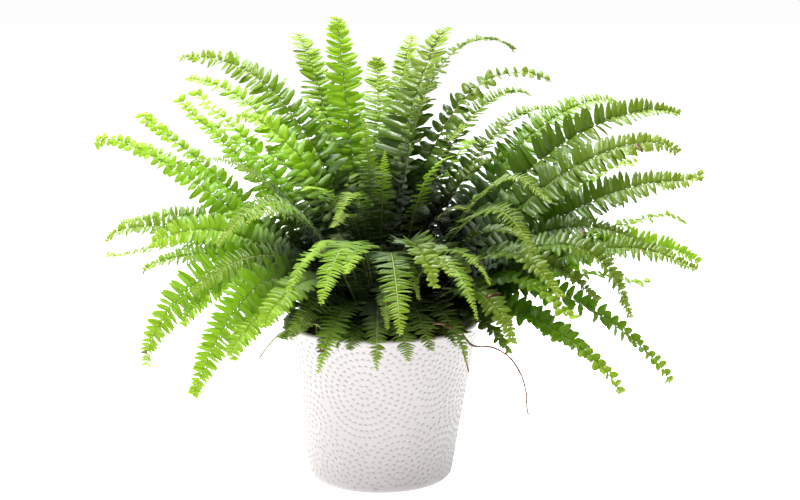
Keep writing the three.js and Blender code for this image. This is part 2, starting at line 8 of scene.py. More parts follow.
import bpy
import numpy as np
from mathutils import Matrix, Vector


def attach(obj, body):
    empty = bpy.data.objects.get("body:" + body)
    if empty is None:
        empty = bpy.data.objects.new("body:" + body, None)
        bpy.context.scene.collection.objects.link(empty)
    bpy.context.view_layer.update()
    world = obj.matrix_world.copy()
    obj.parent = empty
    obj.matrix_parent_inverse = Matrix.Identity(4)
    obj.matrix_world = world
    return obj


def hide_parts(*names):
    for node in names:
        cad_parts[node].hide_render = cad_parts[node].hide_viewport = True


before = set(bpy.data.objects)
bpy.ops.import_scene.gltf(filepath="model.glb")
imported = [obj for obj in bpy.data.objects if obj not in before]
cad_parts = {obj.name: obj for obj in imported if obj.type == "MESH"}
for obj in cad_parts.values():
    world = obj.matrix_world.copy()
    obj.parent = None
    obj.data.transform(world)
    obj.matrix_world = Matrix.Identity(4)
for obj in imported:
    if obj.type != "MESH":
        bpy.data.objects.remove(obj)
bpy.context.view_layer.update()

MM = 0.001
TURN = 2 * math.pi
SEED = 4217
ANY_PHASE = (0, 6.28)  # radians: where a random wave may begin
rng = np.random.default_rng(SEED)

# ------------------------------------------------------------------ sizes, in millimetres
POT_HEIGHT = 143.0
POT_TOP_RADIUS = 86.4
POT_FOOT_RADIUS = 62.4
POT_FOOT_ROUNDING = 7.0
POT_WALL = 5.0
POT_FLOOR = 8.0
POT_LIP_ROUNDING = 2.4
POT_LIP_END = 189  # degrees at which the lip's rounding runs into the inner wall
POT_WALL_LEAN = 9.5  # degrees from upright at which the other roundings meet the wall
POT_RINGS = 24  # rings of vertices up the outer wall
POT_INNER_RINGS = 12  # and down the inner one
POT_FOOT_STEPS = 10  # points in the foot's rounding
POT_LIP_STEPS = 8  # and in each half of the lip's
POT_SIDES = 192
CAP_BELOW = 20.0  # radius of the flat cap that closes an underside

SOIL_TOP = 126.0
SOIL_SETTLED = 3.0  # how much lower the soil lies at the pot's wall
SOIL_GAP = 0.5  # between soil and wall
SOIL_FLOOR_GAP = 0.4  # and between soil and floor
SOIL_CAP = 3.0  # radius of the flat cap at the middle of its top
SOIL_ROLL = (1.3, 22, 0.6)  # height and length of its waves, and how far they are let down
SOIL_RINGS = 34
SOIL_SIDES = 120

CROWN_RADIUS = 54.0
CROWN_DEPTH = 10.0  # how far the rootstock sits down in the soil
CROWN_EDGE = 129.0
CROWN_PEAK = 137.0
CROWN_GAP = 1.0  # between rootstock and soil
CROWN_CAP = 2.0
CROWN_ROLL = (1.6, 12, 0.5)
CROWN_RINGS = 40
CROWN_SIDES = 140

ROOTS_FROM = 6.0  # distance of the steepest frond's stalk from the axis
ROOTS_TO = 49.0  # and of the lowest one's
ROOTS_STEEPEST = 82  # degrees from level at which a stalk stands at ROOTS_FROM
ROOTS_CURVE = 0.8  # below 1, leaning stalks move out sooner
ROOT_SPACING = 9.5  # least distance between neighbouring stalks on the rootstock
ROOT_ROUNDS = 80  # rounds of pushing them apart
ROOT_PUSH = 0.25  # share of what is lacking that each of two stalks gives way in a round
STEM_SUNK = 6.0  # length of a stalk inside the rootstock
STEM_STRAIGHT = 3.0  # length that stands out of it before the rib sets off

RIB_SAMPLES = 401  # points at which a rib's curve is worked out
RIB_STEPS = 60  # rings of vertices along it
RIB_SIDES = 6
RIB_FOOT = 1.35  # radius of a stalk in the rootstock
RIB_NECK = 0.9  # share of it just above
RIB_TIP = 0.3  # radius at the frond's tip
RIB_TAPER = 0.7  # power of the length by which it slims
RIB_SLIM = 0.7  # share of these radii that the frond with the shortest leaflets would keep
FULL_LEAF = 16  # leaflet length from which it keeps all of them
CURL_FROM = 0.88  # share of the rib at which its tip begins to curl
CURL = (10, 26)  # degrees that it curls: mean and spread
CURL_GROWTH = 1.6  # above 1, the curl tightens towards the tip
BARE_SHARE = 0.06  # share of the rib below the first leaflets
LEAFY_SHARE = 0.99  # share of the rest at which the last leaflets stand
TWIST_SHARE = 0.3  # share of the rib over which the blade takes its roll
VIGOUR = 5  # degrees of spread in how far the fronds fold up

LEAF_RISE = 0.26  # how fast the leaflets reach their full length above the bare stalk
LEAF_THICK = 0.3
LEAF_START = 0.3  # distance from the rib's middle at which a leaflet begins
LEAF_LAST = 0.997  # share of the rib that no leaflet passes
LEAF_STRAY = 0.0015  # spread of the leaflets' places along the rib, as a share of it
LEAF_STAGGER = 0.12  # how far each of a pair stands before or behind its place, against the spacing
LEAF_WIDEST = 0.9  # greatest width against length
LENGTH_SPREAD = 0.05
WIDTH_SPREAD = 0.06
SWEEP = (3, 16, 1.5)  # degrees that the first leaflets lean forward, how much more the last do, and by which power
SWEEP_SPREAD = 4.0
LIFT_SPREAD = 7.0  # degrees of spread in how far the leaflets fold up
TWIST = (-15, 11.0)  # degrees that a leaflet turns about its own length: mean and spread
BOW = (0.08, 0.03)  # how far it curves forward, against its length
DROOP = (0.16, 0.07)  # and how far its end droops
CUP = (0.38, 0.2)  # how hollow it is, against its half width
CUP_FADE = 0.4  # share of that which is gone at its end
RIPPLE = 0.02  # height of the waves of its margin, against its length
RIPPLE_RATE = 9.0  # radians of wave along it
ROLL_SPREAD = 9  # degrees that its end rolls
AGED_SHARE = 0.002  # share of the leaflets that have turned brown
AGED = 2.0  # the own tone that marks them
FROND_TONES = (0.15, 0.85)  # own tones of the fronds, from dark to light
TONE_SPREAD = 0.2
UNDERSIDE = 1.5  # place across a leaflet that marks its underside

# ------------------------------------------------------------------ looks, in metres
AGED_BROWN = (0.10, 0.028, 0.008)
LEAF_VEINS = 9  # veins on each side of a midrib
HEART_HEIGHT = 0.165  # the middle of the bush's dense core, which painted shade darkens
HEART_REACH = (0.075, 0.15)  # distances from that middle between which the painted shade gives way
# share of painted shade that darkens the leaflets in the bush's core
HEART_PAINTED_SHADE = 0.93
WORLD_LIGHT = 0.22
FLOOR_HALF = 30
FLOOR_FADE = (0.3, 2.6)  # distances from the pot over which the brighter glow that paints out its shadow fades

VIEW_DOWN = 11  # degrees that the camera looks down
VIEW_DISTANCE = 1.6
VIEW_AIM = Vector((0.0172, 0.0, 0.2043))
MM_PER_PIXEL = 0.88  # at the aim
PICTURE_WIDTH = 800  # pixels
SENSOR_MM = 36


# ------------------------------------------------------------------ shader maths
class Value:
    """A socket of a material, so that shader maths reads as a plain expression."""

    def __init__(self, finish, socket):
        self.finish, self.socket = finish, socket

    def _math(self, operation, *others):
        return self.finish.node("Math", {"operation": operation}, dict(enumerate((self, *others))))

    def __add__(self, other):
        return self._math("ADD", other)

    def __sub__(self, other):
        return self._math("SUBTRACT", other)

    def __rsub__(self, other):
        return self.finish.node("Math", {"operation": "SUBTRACT"}, {0: other, 1: self})

    def __mul__(self, other):
        return self._math("MULTIPLY", other)

    def __pow__(self, other):
        return self._math("POWER", other)

    __radd__, __rmul__ = __add__, __mul__

    def sine(self):
        return self._math("SINE")

    def size(self):
        return self._math("ABSOLUTE")

    def step(self, low, high):
        """0 below low, 1 above high, smooth between."""
        smooth = {"interpolation_type": "SMOOTHSTEP"}
        return self.finish.node("MapRange", smooth, {"Value": self, "From Min": low, "From Max": high})


class Finish:
    """A procedural material: nodes are added by type, with settings first and then socket values."""

    def __init__(self, name):
        self.material = bpy.data.materials.new(name)
        self.material.use_nodes = True
        self.tree = self.material.node_tree
        self.tree.nodes.clear()

    def node(self, kind, settings=None, inputs=None, out=0):
        """Adds a node and gives its inputs numbers, colours or links."""
        made = self.tree.nodes.new("ShaderNode" + kind)
        for key, value in (settings or {}).items():
            setattr(made, key, value)
        for key, value in (inputs or {}).items():
            if isinstance(value, Value):
                self.tree.links.new(value.socket, made.inputs[key])
            else:
                if isinstance(value, tuple) and made.inputs[key].type == "RGBA":
                    value = (*value, 1.0)
                made.inputs[key].default_value = value
        return Value(self, made.outputs[out])

    def mix(self, share, first, second):
        """Blends two colours: the first where share is 0, the second where it is 1."""
        return self.node("Mix", {"data_type": "RGBA"}, {0: share, 6: first, 7: second}, out=2)

    def parts(self, vector):
        made = self.node("SeparateXYZ", None, {0: vector})
        return [Value(self, out) for out in made.socket.node.outputs]

    def place(self):
        return self.node("TexCoord", out="Object")

    def map(self, name):
        """The two numbers of one of the piece's own maps."""
        return self.parts(self.node("UVMap", {"uv_map": name}))[:2]

    def painted_heart_shade(self):
        """Mask of painted shade: 1 in the bush's dense core, 0 away from it, by the distance from its middle."""
        x, y, z = self.parts(self.place())
        high = z - HEART_HEIGHT
        return 1.0 - ((x * x + y * y + high * high) ** 0.5).step(*HEART_REACH)

    def noise(self, scale, detail=3.0, rough=0.5):
        """Cloudy noise over the piece, with scale clouds to the metre."""
        inputs = {"Vector": self.place(), "Scale": scale, "Detail": detail, "Roughness": rough}
        return self.node("TexNoise", None, inputs)

    def surface(self, inputs, through=None):
        """The shader itself; through is (share, colour) of the light that passes the leaf."""
        shader = self.node("BsdfPrincipled", None, inputs)
        if through:
            back = self.node("BsdfTranslucent", None, {"Color": through[1]})
            shader = self.node("MixShader", None, {0: through[0], 1: shader, 2: back})
        output = self.tree.nodes.new("ShaderNodeOutputMaterial")
        self.tree.links.new(shader.socket, output.inputs["Surface"])
        return self.material


def bump(finish, height, depth_mm, strength):
    """The surface's normal, tilted by a height that stands for a depth in millimetres."""
    return finish.node("Bump", None, {"Height": height, "Distance": depth_mm * MM, "Strength": strength})


def leaf_finish(name, shade, light, tip, glow, share):
    """A leaflet: mottled green, fresh at the frond's tip, and darkened by painted shade near the frond's foot.

    It has a paler midrib, slanting veins and a pale margin, and a share of the light passes through it as a glow.
    Painted shade makes it nearly black in the bush's core. One whose own tone is above 1 has turned brown."""
    f = Finish(name)
    along, across = f.map("leaf")
    place, own = f.map("frond")
    below = across.step(1.02, 1.12)
    off = (across * 2.0 - 1.0).size()
    midrib = 1.0 - off.step(0.03, 0.2)
    margin = off.step(0.50, 0.92) * (1.0 - below)
    slant = ((along * LEAF_VEINS - off * 1.1) * TURN).sine()
    vein = slant.step(0.72, 1.0) * (1.0 - margin)
    mottle = f.noise(55.0, 4.0)
    outer = place.step(0.0, 0.5)
    pale = tuple(0.45 * c + 0.55 * g for c, g in zip(light, glow))
    # mottle and the frond's own tone vary at random; each leaflet's darker base and lighter end are painted shade
    tone = f.mix(mottle.step(0.3, 0.75) * 0.3 + own * 0.5 + along.step(0.5, 1.0) * 0.2, shade, light)
    tone = f.mix(place ** 3.0 * 0.8, tone, tip)
    tone = f.mix(midrib * 0.30 + vein * 0.10 + margin * 0.32, tone, pale)
    tone = f.mix(below * 0.35, tone, pale)
    # painted shade: leaflets near the frond's foot, inside the bush, darken towards this nearly black tone
    painted_shade_tone = tuple(c * 0.10 for c in shade)
    tone = f.mix((1.0 - outer) * 0.8, tone, painted_shade_tone)
    # painted shade: leaflets darken to nearly black in the bush's core
    painted_heart_shade = f.painted_heart_shade()
    tone = f.mix(painted_heart_shade * HEART_PAINTED_SHADE, tone, painted_shade_tone)
    tone = f.mix(own.step(1.2, 1.6), tone, AGED_BROWN)
    height = midrib * -0.7 + vein * 0.35 + f.noise(300.0, 2.0) * 0.5
    return f.surface(
        {
            "Base Color": tone,
            "Roughness": 0.24 + mottle * 0.14 + below * 0.2 + painted_heart_shade * 0.4,
            "Normal": bump(f, height, 0.25, 0.6),
            "Specular IOR Level": 0.36,
        },
        ((outer * 0.75 + 0.25) * (1.0 - painted_heart_shade * 0.85) * share, glow),
    )


def rib_finish(name, foot, top):
    """A stalk: brown at its foot, green and then yellow towards the tip, with fine lengthwise streaks."""
    f = Finish(name)
    along, _ = f.map("leaf")
    streak = f.noise(240.0, 3.0)
    tone = f.mix(along.step(0.0, 0.35), foot, top)
    tone = f.mix(streak * 0.35, tone, tuple(c * 0.45 for c in top))
    # painted shade: stalks darken in the bush's core
    tone = f.mix(f.painted_heart_shade() * 0.8, tone, tuple(c * 0.12 for c in top))
    return f.surface({"Base Color": tone, "Roughness": 0.5, "Normal": bump(f, streak, 0.15, 0.5)})


def pot_finish(name, beaded):
    """Matt white glazed stoneware: a faint cloudy tone, a soft sheen and very fine pitting.

    Beads have a little painted shade at their foot."""
    f = Finish(name)
    cloud = f.noise(14.0, 4.0)
    grain = f.noise(900.0, 2.0)
    tone = f.mix(cloud.step(0.3, 0.7), (0.535, 0.495, 0.50), (0.57, 0.53, 0.535))
    if beaded:
        height, _ = f.map("leaf")
        # painted shade: a darker ring round each bead's foot
        tone = f.mix(height.step(0.1, 0.65), (0.41, 0.39, 0.405), tone)
    return f.surface(
        {
            "Base Color": tone,
            "Roughness": 0.42 + cloud * 0.14,
            "Normal": bump(f, grain + cloud * 1.5, 0.12, 0.35),
            "Coat Weight": 0.12,
            "Coat Roughness": 0.3,
        }
    )


def soil_finish():
    """Moist potting soil: dark crumbs with paler fibre."""
    f = Finish("potting_soil")
    crumb = f.noise(260.0, 6.0, 0.65)
    fibre = f.node("TexVoronoi", None, {"Vector": f.place(), "Scale": 420.0})
    tone = f.mix(crumb.step(0.35, 0.7), (0.018, 0.011, 0.007), (0.085, 0.052, 0.03))
    return f.surface({"Base Color": tone, "Roughness": 0.9, "Normal": bump(f, crumb - fibre * 0.4, 1.6, 0.9)})


def crown_finish():
    """The rootstock: matted brown fibre."""
    f = Finish("rootstock")
    fibre = f.noise(520.0, 5.0, 0.7)
    patch = f.noise(70.0, 3.0)
    tone = f.mix(fibre.step(0.35, 0.7), (0.035, 0.02, 0.01), (0.19, 0.12, 0.055))
    tone = f.mix(patch.step(0.5, 0.8) * 0.5, tone, (0.07, 0.09, 0.02))
    return f.surface({"Base Color": tone, "Roughness": 0.85, "Normal": bump(f, fibre, 1.0, 0.9)})


def strand_finish(name, dark, light):
    """A wiry runner: bark-like blotches along it."""
    f = Finish(name)
    blotch = f.noise(180.0, 4.0, 0.6)
    tone = f.mix(blotch.step(0.35, 0.7), dark, light)
    return f.surface({"Base Color": tone, "Roughness": 0.6, "Normal": bump(f, blotch, 0.3, 0.6)})


def floor_finish():
    """A pale floor that glows a little by itself, more near the pot, where the glow paints out the pot's shadow."""
    f = Finish("pale_floor")
    x, y, _ = f.parts(f.place())
    away = (x * x + y * y) ** 0.5
    return f.surface({
        "Base Color": f.mix(f.noise(1.5, 2.0) * 0.3, (0.80, 0.80, 0.80), (0.77, 0.77, 0.775)),
        "Roughness": 0.8,
        "Emission Color": f.mix(away.step(*FLOOR_FADE), (0.90, 0.90, 0.90), (0.80, 0.80, 0.80)),
        "Emission Strength": 1.0,
    })


FRESH = leaf_finish(
    "leaf_fresh", shade=(0.075, 0.22, 0.004), light=(0.23, 0.44, 0.01), tip=(0.50, 0.65, 0.05),
    glow=(0.55, 0.79, 0.03), share=0.44)
GREEN = leaf_finish(
    "leaf_green", shade=(0.015, 0.066, 0.001), light=(0.085, 0.22, 0.004), tip=(0.44, 0.58, 0.03),
    glow=(0.37, 0.62, 0.01), share=0.32)
DEEP = leaf_finish(
    "leaf_deep", shade=(0.007, 0.036, 0.002), light=(0.050, 0.135, 0.008), tip=(0.39, 0.50, 0.04),
    glow=(0.30, 0.50, 0.01), share=0.30)
RIB_LIGHT = rib_finish("rib_light", (0.16, 0.08, 0.03), (0.34, 0.42, 0.08))
RIB_DARK = rib_finish("rib_dark", (0.10, 0.05, 0.02), (0.16, 0.19, 0.05))


# ------------------------------------------------------------------ mesh building
class Shape:
    """Vertices in millimetres with faces, two maps, material numbers and margins, gathered from grids."""

    def __init__(self):
        self.points, self.faces, self.slots, self.leaf, self.frond, self.margins = [], [], [], [], [], []
        self.count = 0

    def add(self, points, faces, slot=0, leaf=None, frond=None, margins=None):
        n = len(points)
        self.points.append(points)
        self.faces += [np.asarray(face) + self.count for face in faces]
        self.slots += [slot] * len(faces)
        self.leaf.append(np.zeros((n, 2)) if leaf is None else leaf)
        self.frond.append(np.zeros((n, 2)) if frond is None else frond)
        self.margins.append(np.zeros(n, int) if margins is None else margins)
        self.count += n

    def build(self, name, materials, nodes, slot):
        """Puts the gathered arrays into one mesh, marks leaf margins sharp, and hands the piece to the frame."""
        points = np.concatenate(self.points) * MM
        corners = np.concatenate([face.ravel() for face in self.faces])
        totals = np.concatenate([np.full(len(face), face.shape[1]) for face in self.faces])
        numbers = np.concatenate([np.full(len(face), s) for face, s in zip(self.faces, self.slots)])
        mesh = bpy.data.meshes.new(name)
        mesh.vertices.add(len(points))
        mesh.vertices.foreach_set("co", points.ravel())
        mesh.loops.add(len(corners))
        mesh.loops.foreach_set("vertex_index", corners.astype(np.int32))
        mesh.polygons.add(len(totals))
        mesh.polygons.foreach_set("loop_start", (np.cumsum(totals) - totals).astype(np.int32))
        mesh.polygons.foreach_set("loop_total", totals.astype(np.int32))
        mesh.polygons.foreach_set("material_index", numbers.astype(np.int32))
        mesh.polygons.foreach_set("use_smooth", np.ones(len(totals), bool))
        for key, rows in (("leaf", self.leaf), ("frond", self.frond)):
            layer = mesh.uv_layers.new(name=key)
            layer.data.foreach_set("uv", np.concatenate(rows)[corners].astype(np.float32).ravel())
        mesh.update(calc_edges=True)
        margins = np.concatenate(self.margins)
        if margins.any():
            ends = np.empty(2 * len(mesh.edges), np.int32)
            mesh.edges.foreach_get("vertices", ends)
            a, b = margins[ends.reshape(-1, 2)].T
            sharp = mesh.attributes.new("sharp_edge", "BOOLEAN", "EDGE")
            sharp.data.foreach_set("value", (a == b) & (a > 0))
        for material in materials:
            mesh.materials.append(material)
        piece = bpy.data.objects.new(name, mesh)
        bpy.context.scene.collection.objects.link(piece)
        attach(piece, "root")
        if nodes:
            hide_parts(*nodes)
        return piece


def ring_faces(rings, sides, flip=False):
    """Quads between neighbouring rings of a grid that is closed round its rings, and a cap at each end."""
    i, k = np.meshgrid(np.arange(rings - 1), np.arange(sides), indexing="ij")
    here, beside = i * sides + k, i * sides + (k + 1) % sides
    quads = np.stack([here, beside, beside + sides, here + sides], -1).reshape(-1, 4)
    first = np.arange(sides)[None, ::-1]
    last = (rings - 1) * sides + np.arange(sides)[None]
    faces = [quads, first, last]
    return [face[:, ::-1] for face in faces] if flip else faces


def repeated(faces, starts):
    """The faces of one small shape, again for each copy of it whose vertices begin at one of these numbers."""
    return [(face[None] + starts[:, None, None]).reshape(-1, face.shape[1]) for face in faces]


def around(sides):
    """Angles of evenly spaced points on a circle, in radians."""
    return np.arange(sides) * (TURN / sides)


def revolve(profile, sides):
    """A profile of (radius, height) carried round the Z axis: x = r cos a, y = r sin a, z = height."""
    r, z = np.asarray(profile, float).T
    a = around(sides)
    grid = np.stack([np.outer(r, np.cos(a)), np.outer(r, np.sin(a)), np.repeat(z[:, None], sides, 1)], -1)
    return grid.reshape(-1, 3), ring_faces(len(r), sides)


NO_PATH = (0.31, 0.17, 0.94)  # a direction that no path runs along


def tube(path, radii, sides, axes=None):
    """Rings of a radius round each point of a path, square to its direction: p + r (side cos a + up sin a)."""
    path = np.asarray(path, float)
    ahead = np.gradient(path, axis=0)
    ahead /= np.linalg.norm(ahead, axis=1, keepdims=True)
    if axes is None:
        side = np.cross(ahead, NO_PATH)
        side /= np.linalg.norm(side, axis=1, keepdims=True)
        up = np.cross(ahead, side)
    else:
        side, up = axes
    a = around(sides)
    turn = side[:, None] * np.cos(a)[None, :, None] + up[:, None] * np.sin(a)[None, :, None]
    grid = path[:, None] + turn * np.asarray(radii, float)[:, None, None]
    return grid.reshape(-1, 3), ring_faces(len(path), sides)


WAYS = 4  # directions of the waves of one length


def waves(points, size, seed, octaves=3):
    """Smooth rolling noise about 0: sums of sines along random directions, each octave finer and lower."""
    own = np.random.default_rng(seed)
    total = np.zeros(len(points))
    for octave in range(octaves):
        for _ in range(WAYS):
            way = own.normal(size=3)
            way *= TURN * 2**octave / (size * np.linalg.norm(way))
            total += np.sin(points @ way + own.uniform(*ANY_PHASE)) * 0.5**octave
    return total / WAYS


# ------------------------------------------------------------------ the fronds
# Habit of a frond. taper: how fast its leaflets shorten towards the tip. fold: degrees that both rows fold up
# from flat. long: leaflet length against the frond's own. spacing: leaflet spacing against leaflet length.
# fill: leaflet width against spacing. least: the shortest leaflets, in millimetres. crowd: how much closer they
# stand at the tip. unruly: how much each goes its own way. point: round ends (0) or pointed ones (1).
BROAD = {"taper": 0.36, "fold": 13, "long": 1.05, "spacing": 0.31, "fill": 1.25, "least": 4.5, "crowd": 0.35,
         "unruly": 0.9, "point": 0.2}
TAPERED = BROAD | {"taper": 0.62, "fold": 20, "long": 1.27, "spacing": 0.27, "fill": 1.2, "least": 5.4,
                   "crowd": 0.38, "unruly": 1.0}
AIRY = TAPERED | {"spacing": 0.35, "fill": 1.05, "unruly": 1.3, "point": 0.35}
BEADED = BROAD | {"taper": 0.8, "fold": 14, "long": 1.1, "spacing": 0.44, "fill": 1.08, "least": 7.4,
                  "crowd": 0.1, "unruly": 1.4}
POINTED = BROAD | {"taper": 0.85, "fold": 6, "spacing": 0.25, "fill": 0.85, "least": 2.0, "crowd": 0.3,
                   "unruly": 1.0, "point": 0.75}
COMB = TAPERED | {"fold": 10, "long": 1.15, "spacing": 0.22, "fill": 0.75, "least": 2.8, "unruly": 0.9,
                  "point": 0.6}

# Each line is one tuft: its name, tone and habit, then its one to four fronds.
# A frond is [azimuth, reach from the axis, tip height, bend's share of the reach, bend height,
# leaflet length, roll towards the front].
TUFTS = [
    ["top_1", FRESH, BROAD, [118, 85, 405, 0.7, 300, 21, 0], [130, 65, 285, 0.4, 250, 16, 0]],
    ["top_2", GREEN, BROAD, [123, 140, 390, 0.5, 290, 20, 0]],
    ["top_3", DEEP, TAPERED, [56, 110, 400, 0.1, 310, 24, 0], [40, 100, 305, 0.4, 285, 16, 0]],
    ["top_4", GREEN, BROAD, [76, 120, 385, 0.2, 305, 16, 0], [92, 130, 360, 0.3, 275, 18, 0]],
    ["top_5", DEEP, AIRY, [25, 135, 380, 0.1, 425, 13, 0], [24, 120, 280, 0.45, 270, 16, 0]],
    ["top_6", DEEP, BEADED, [12, 155, 350, 0.3, 400, 18, 30], [44, 55, 335, 0.3, 285, 15, 0]],
    ["top_7", DEEP, AIRY, [43, 190, 330, 0.4, 350, 13, 20], [33, 190, 315, 0.6, 340, 14, 20]],
    ["top_8", GREEN, AIRY, [171, 180, 370, 0.35, 390, 18, 45]],
    ["top_9", FRESH, AIRY, [153, 200, 345, 0.45, 350, 16, 30]],
    ["top_10", FRESH, AIRY, [190, 125, 330, 0.4, 305, 18, 40]],
    ["top_11", GREEN, BEADED, [133, 100, 330, 0.4, 280, 18, 0], [138, 245, 305, 0.45, 270, 12, 0]],
    ["top_12", FRESH, POINTED, [170, 15, 330, 0.5, 255, 16, 60], [275, 50, 300, 0.3, 265, 16, 0]],
    ["left_1", FRESH, BEADED, [147, 210, 330, 0.5, 280, 16, 30]],
    ["left_2", FRESH, BEADED, [163, 195, 330, 0.55, 275, 14, 30], [170, 220, 320, 0.6, 265, 14, 40]],
    ["left_3", FRESH, BEADED, [179, 250, 310, 0.55, 270, 15, 50]],
    ["left_4", GREEN, BEADED, [154, 260, 285, 0.6, 260, 13, 30], [150, 120, 285, 0.45, 260, 16, 10]],
    ["left_5", DEEP, COMB, [196, 165, 290, 0.55, 305, 14, 20]],
    ["left_6", GREEN, TAPERED, [176, 250, 215, 0.5, 250, 15, 40], [184, 210, 190, 0.55, 230, 14, 30]],
    ["left_7", GREEN, TAPERED, [167, 245, 215, 0.5, 260, 14, 30], [161, 270, 175, 0.5, 240, 13, 20]],
    ["left_8", GREEN, COMB, [216, 165, 225, 0.55, 320, 16, 20], [208, 130, 240, 0.5, 275, 15, 20]],
    ["left_9", FRESH, TAPERED, [196, 215, 115, 0.65, 270, 17, 60], [208, 110, 150, 0.6, 180, 14, 0],
     [214, 100, 140, 0.65, 175, 15, 0]],
    ["left_10", FRESH, TAPERED, [215, 190, 100, 0.6, 265, 17, 50], [221, 110, 140, 0.6, 170, 15, 0]],
    ["left_11", FRESH, BROAD, [222, 170, 135, 0.5, 225, 15, 20], [230, 150, 165, 0.45, 230, 16, 20],
     [228, 100, 150, 0.6, 180, 13, 0]],
    ["left_12", GREEN, COMB, [206, 175, 180, 0.55, 255, 17, 40], [235, 130, 150, 0.5, 210, 15, 20],
     [236, 85, 215, 0.45, 260, 13, 0], [240, 100, 135, 0.65, 175, 15, 0]],
    ["left_13",FRESH, BROAD, [189, 200, 215, 0.6, 260, 17, 50], [199, 180, 150, 0.6, 245, 15, 30]],
    ["front_1", FRESH, POINTED, [248, 135, 125, 0.45, 210, 18, 0], [239, 150, 185, 0.6, 270, 15, 0],
     [244, 140, 215, 0.45, 265, 15, 0], [250, 105, 140, 0.6, 175, 13, 0]],
    ["front_2", GREEN, POINTED, [269, 130, 130, 0.4, 210, 18, 0], [273, 130, 165, 0.4, 220, 14, 0],
     [286, 120, 185, 0.4, 255, 13, 0]],
    ["front_3", GREEN, POINTED, [305, 130, 130, 0.55, 210, 16, 0], [299, 165, 175, 0.6, 270, 16, 0],
     [306, 110, 140, 0.6, 170, 15, 0], [308, 150, 200, 0.5, 260, 14, 0]],
    ["front_4", GREEN, COMB, [276, 170, 170, 0.35, 280, 18, 0], [291, 120, 140, 0.5, 210, 16, 0],
     [281, 125, 135, 0.5, 200, 15, 0]],
    ["front_5", FRESH, COMB, [253, 160, 190, 0.4, 285, 17, 0], [259, 140, 210, 0.4, 260, 16, 0],
     [257, 110, 140, 0.6, 170, 15, 0]],
    ["front_6", DEEP, AIRY, [287, 155, 205, 0.4, 270, 16, 0], [311, 115, 190, 0.55, 270, 15, 0],
     [294, 150, 205, 0.4, 265, 14, 0]],
    ["front_7", FRESH, POINTED, [318, 85, 295, 0.4, 290, 17, 0], [326, 140, 150, 0.55, 215, 16, 10]],
    ["front_8", FRESH, COMB, [248, 95, 245, 0.3, 310, 12, 0], [226, 95, 270, 0.35, 275, 15, 0],
     [244, 90, 235, 0.4, 280, 13, 0]],
    ["right_1", DEEP, TAPERED, [4, 265, 325, 0.55, 340, 21, 50]],
    ["right_2", GREEN, TAPERED, [26, 255, 325, 0.55, 345, 17, 30]],
    ["right_3", DEEP, TAPERED, [354, 260, 300, 0.65, 325, 19, 50]],
    ["right_4", GREEN, BEADED, [14, 250, 285, 0.7, 290, 15, 20], [23, 260, 270, 0.75, 265, 16, 20]],
    ["right_5", DEEP, TAPERED, [0, 285, 260, 0.7, 290, 19, 45], [6, 215, 240, 0.6, 285, 16, 30]],
    ["right_6", GREEN, BEADED, [18, 300, 220, 0.75, 230, 14, 10], [8, 245, 160, 0.7, 205, 15, 10]],
    ["right_7", FRESH, TAPERED, [356, 280, 195, 0.75, 250, 17, 45]],
    ["right_8", DEEP, TAPERED, [347, 275, 195, 0.75, 255, 16, 30], [352, 230, 215, 0.6, 265, 15, 30]],
    ["right_9", DEEP, TAPERED, [339, 225, 160, 0.85, 290, 16, 20], [333, 150, 215, 0.6, 270, 15, 0],
     [342, 195, 170, 0.65, 250, 15, 20]],
    ["right_10", GREEN, BEADED, [348, 260, 100, 0.5, 235, 16, 35], [328, 190, 160, 0.65, 235, 15, 10],
     [338, 110, 150, 0.6, 175, 13, 0]],
    ["right_11", GREEN, BEADED, [333, 230, 105, 0.5, 205, 16, 20], [342, 205, 110, 0.55, 200, 16, 20]],
    ["right_12", DEEP, COMB, [320, 165, 215, 0.75, 320, 18, 10], [330, 160, 255, 0.75, 335, 18, 10],
     [330, 100, 240, 0.5, 280, 14, 0]],
    ["right_13", DEEP, TAPERED, [321, 190, 185, 0.7, 270, 16, 10], [312, 165, 150, 0.7, 230, 15, 10],
     [314, 105, 145, 0.6, 175, 13, 0], [325, 135, 130, 0.6, 190, 15, 0]],
    ["back_1", GREEN, BROAD, [58, 195, 275, 0.55, 310, 17, 0], [62, 120, 260, 0.5, 260, 16, 0]],
    ["back_2", GREEN, TAPERED, [82, 190, 280, 0.5, 305, 17, 0], [66, 55, 310, 0.4, 260, 16, 0]],
    ["back_3", GREEN, BROAD, [106, 190, 270, 0.55, 295, 17, 0], [104, 110, 260, 0.5, 260, 16, 0]],
    ["back_4", GREEN, TAPERED, [116, 205, 250, 0.55, 270, 17, 0], [98, 95, 290, 0.35, 260, 16, 0]],
    ["back_5", GREEN, BROAD, [36, 230, 200, 0.6, 250, 17, 0], [48, 215, 160, 0.6, 230, 16, 0],
     [28, 110, 150, 0.6, 175, 13, 0]],
    ["back_6", GREEN, TAPERED, [66, 205, 170, 0.6, 240, 17, 0], [77, 190, 130, 0.6, 215, 16, 0]],
    ["back_7", GREEN, BROAD, [92, 205, 165, 0.6, 240, 17, 0], [103, 190, 130, 0.6, 215, 16, 0],
     [92, 110, 150, 0.6, 175, 13, 0]],
    ["back_8", GREEN, TAPERED, [118, 210, 160, 0.6, 240, 17, 0], [137, 225, 170, 0.6, 235, 16, 0],
     [148, 110, 150, 0.6, 175, 13, 0]],
]


def outward(azimuth):
    """The level direction of an azimuth: (cos a, sin a, 0)."""
    return np.array([math.cos(math.radians(azimuth)), math.sin(math.radians(azimuth)), 0.0])


def mound(radius):
    """Height of the rootstock's low dome: its peak less a parabola."""
    return CROWN_PEAK - (CROWN_PEAK - CROWN_EDGE) * (radius / CROWN_RADIUS) ** 2


def root_radius(reach, share, height):
    """Steep fronds stand near the axis and low ones near the edge, by a power of how far they lean."""
    rise = math.atan2(height - CROWN_PEAK, share * reach)
    lean = max(0.0, 1 - rise / math.radians(ROOTS_STEEPEST))
    return ROOTS_FROM + (ROOTS_TO - ROOTS_FROM) * lean**ROOTS_CURVE


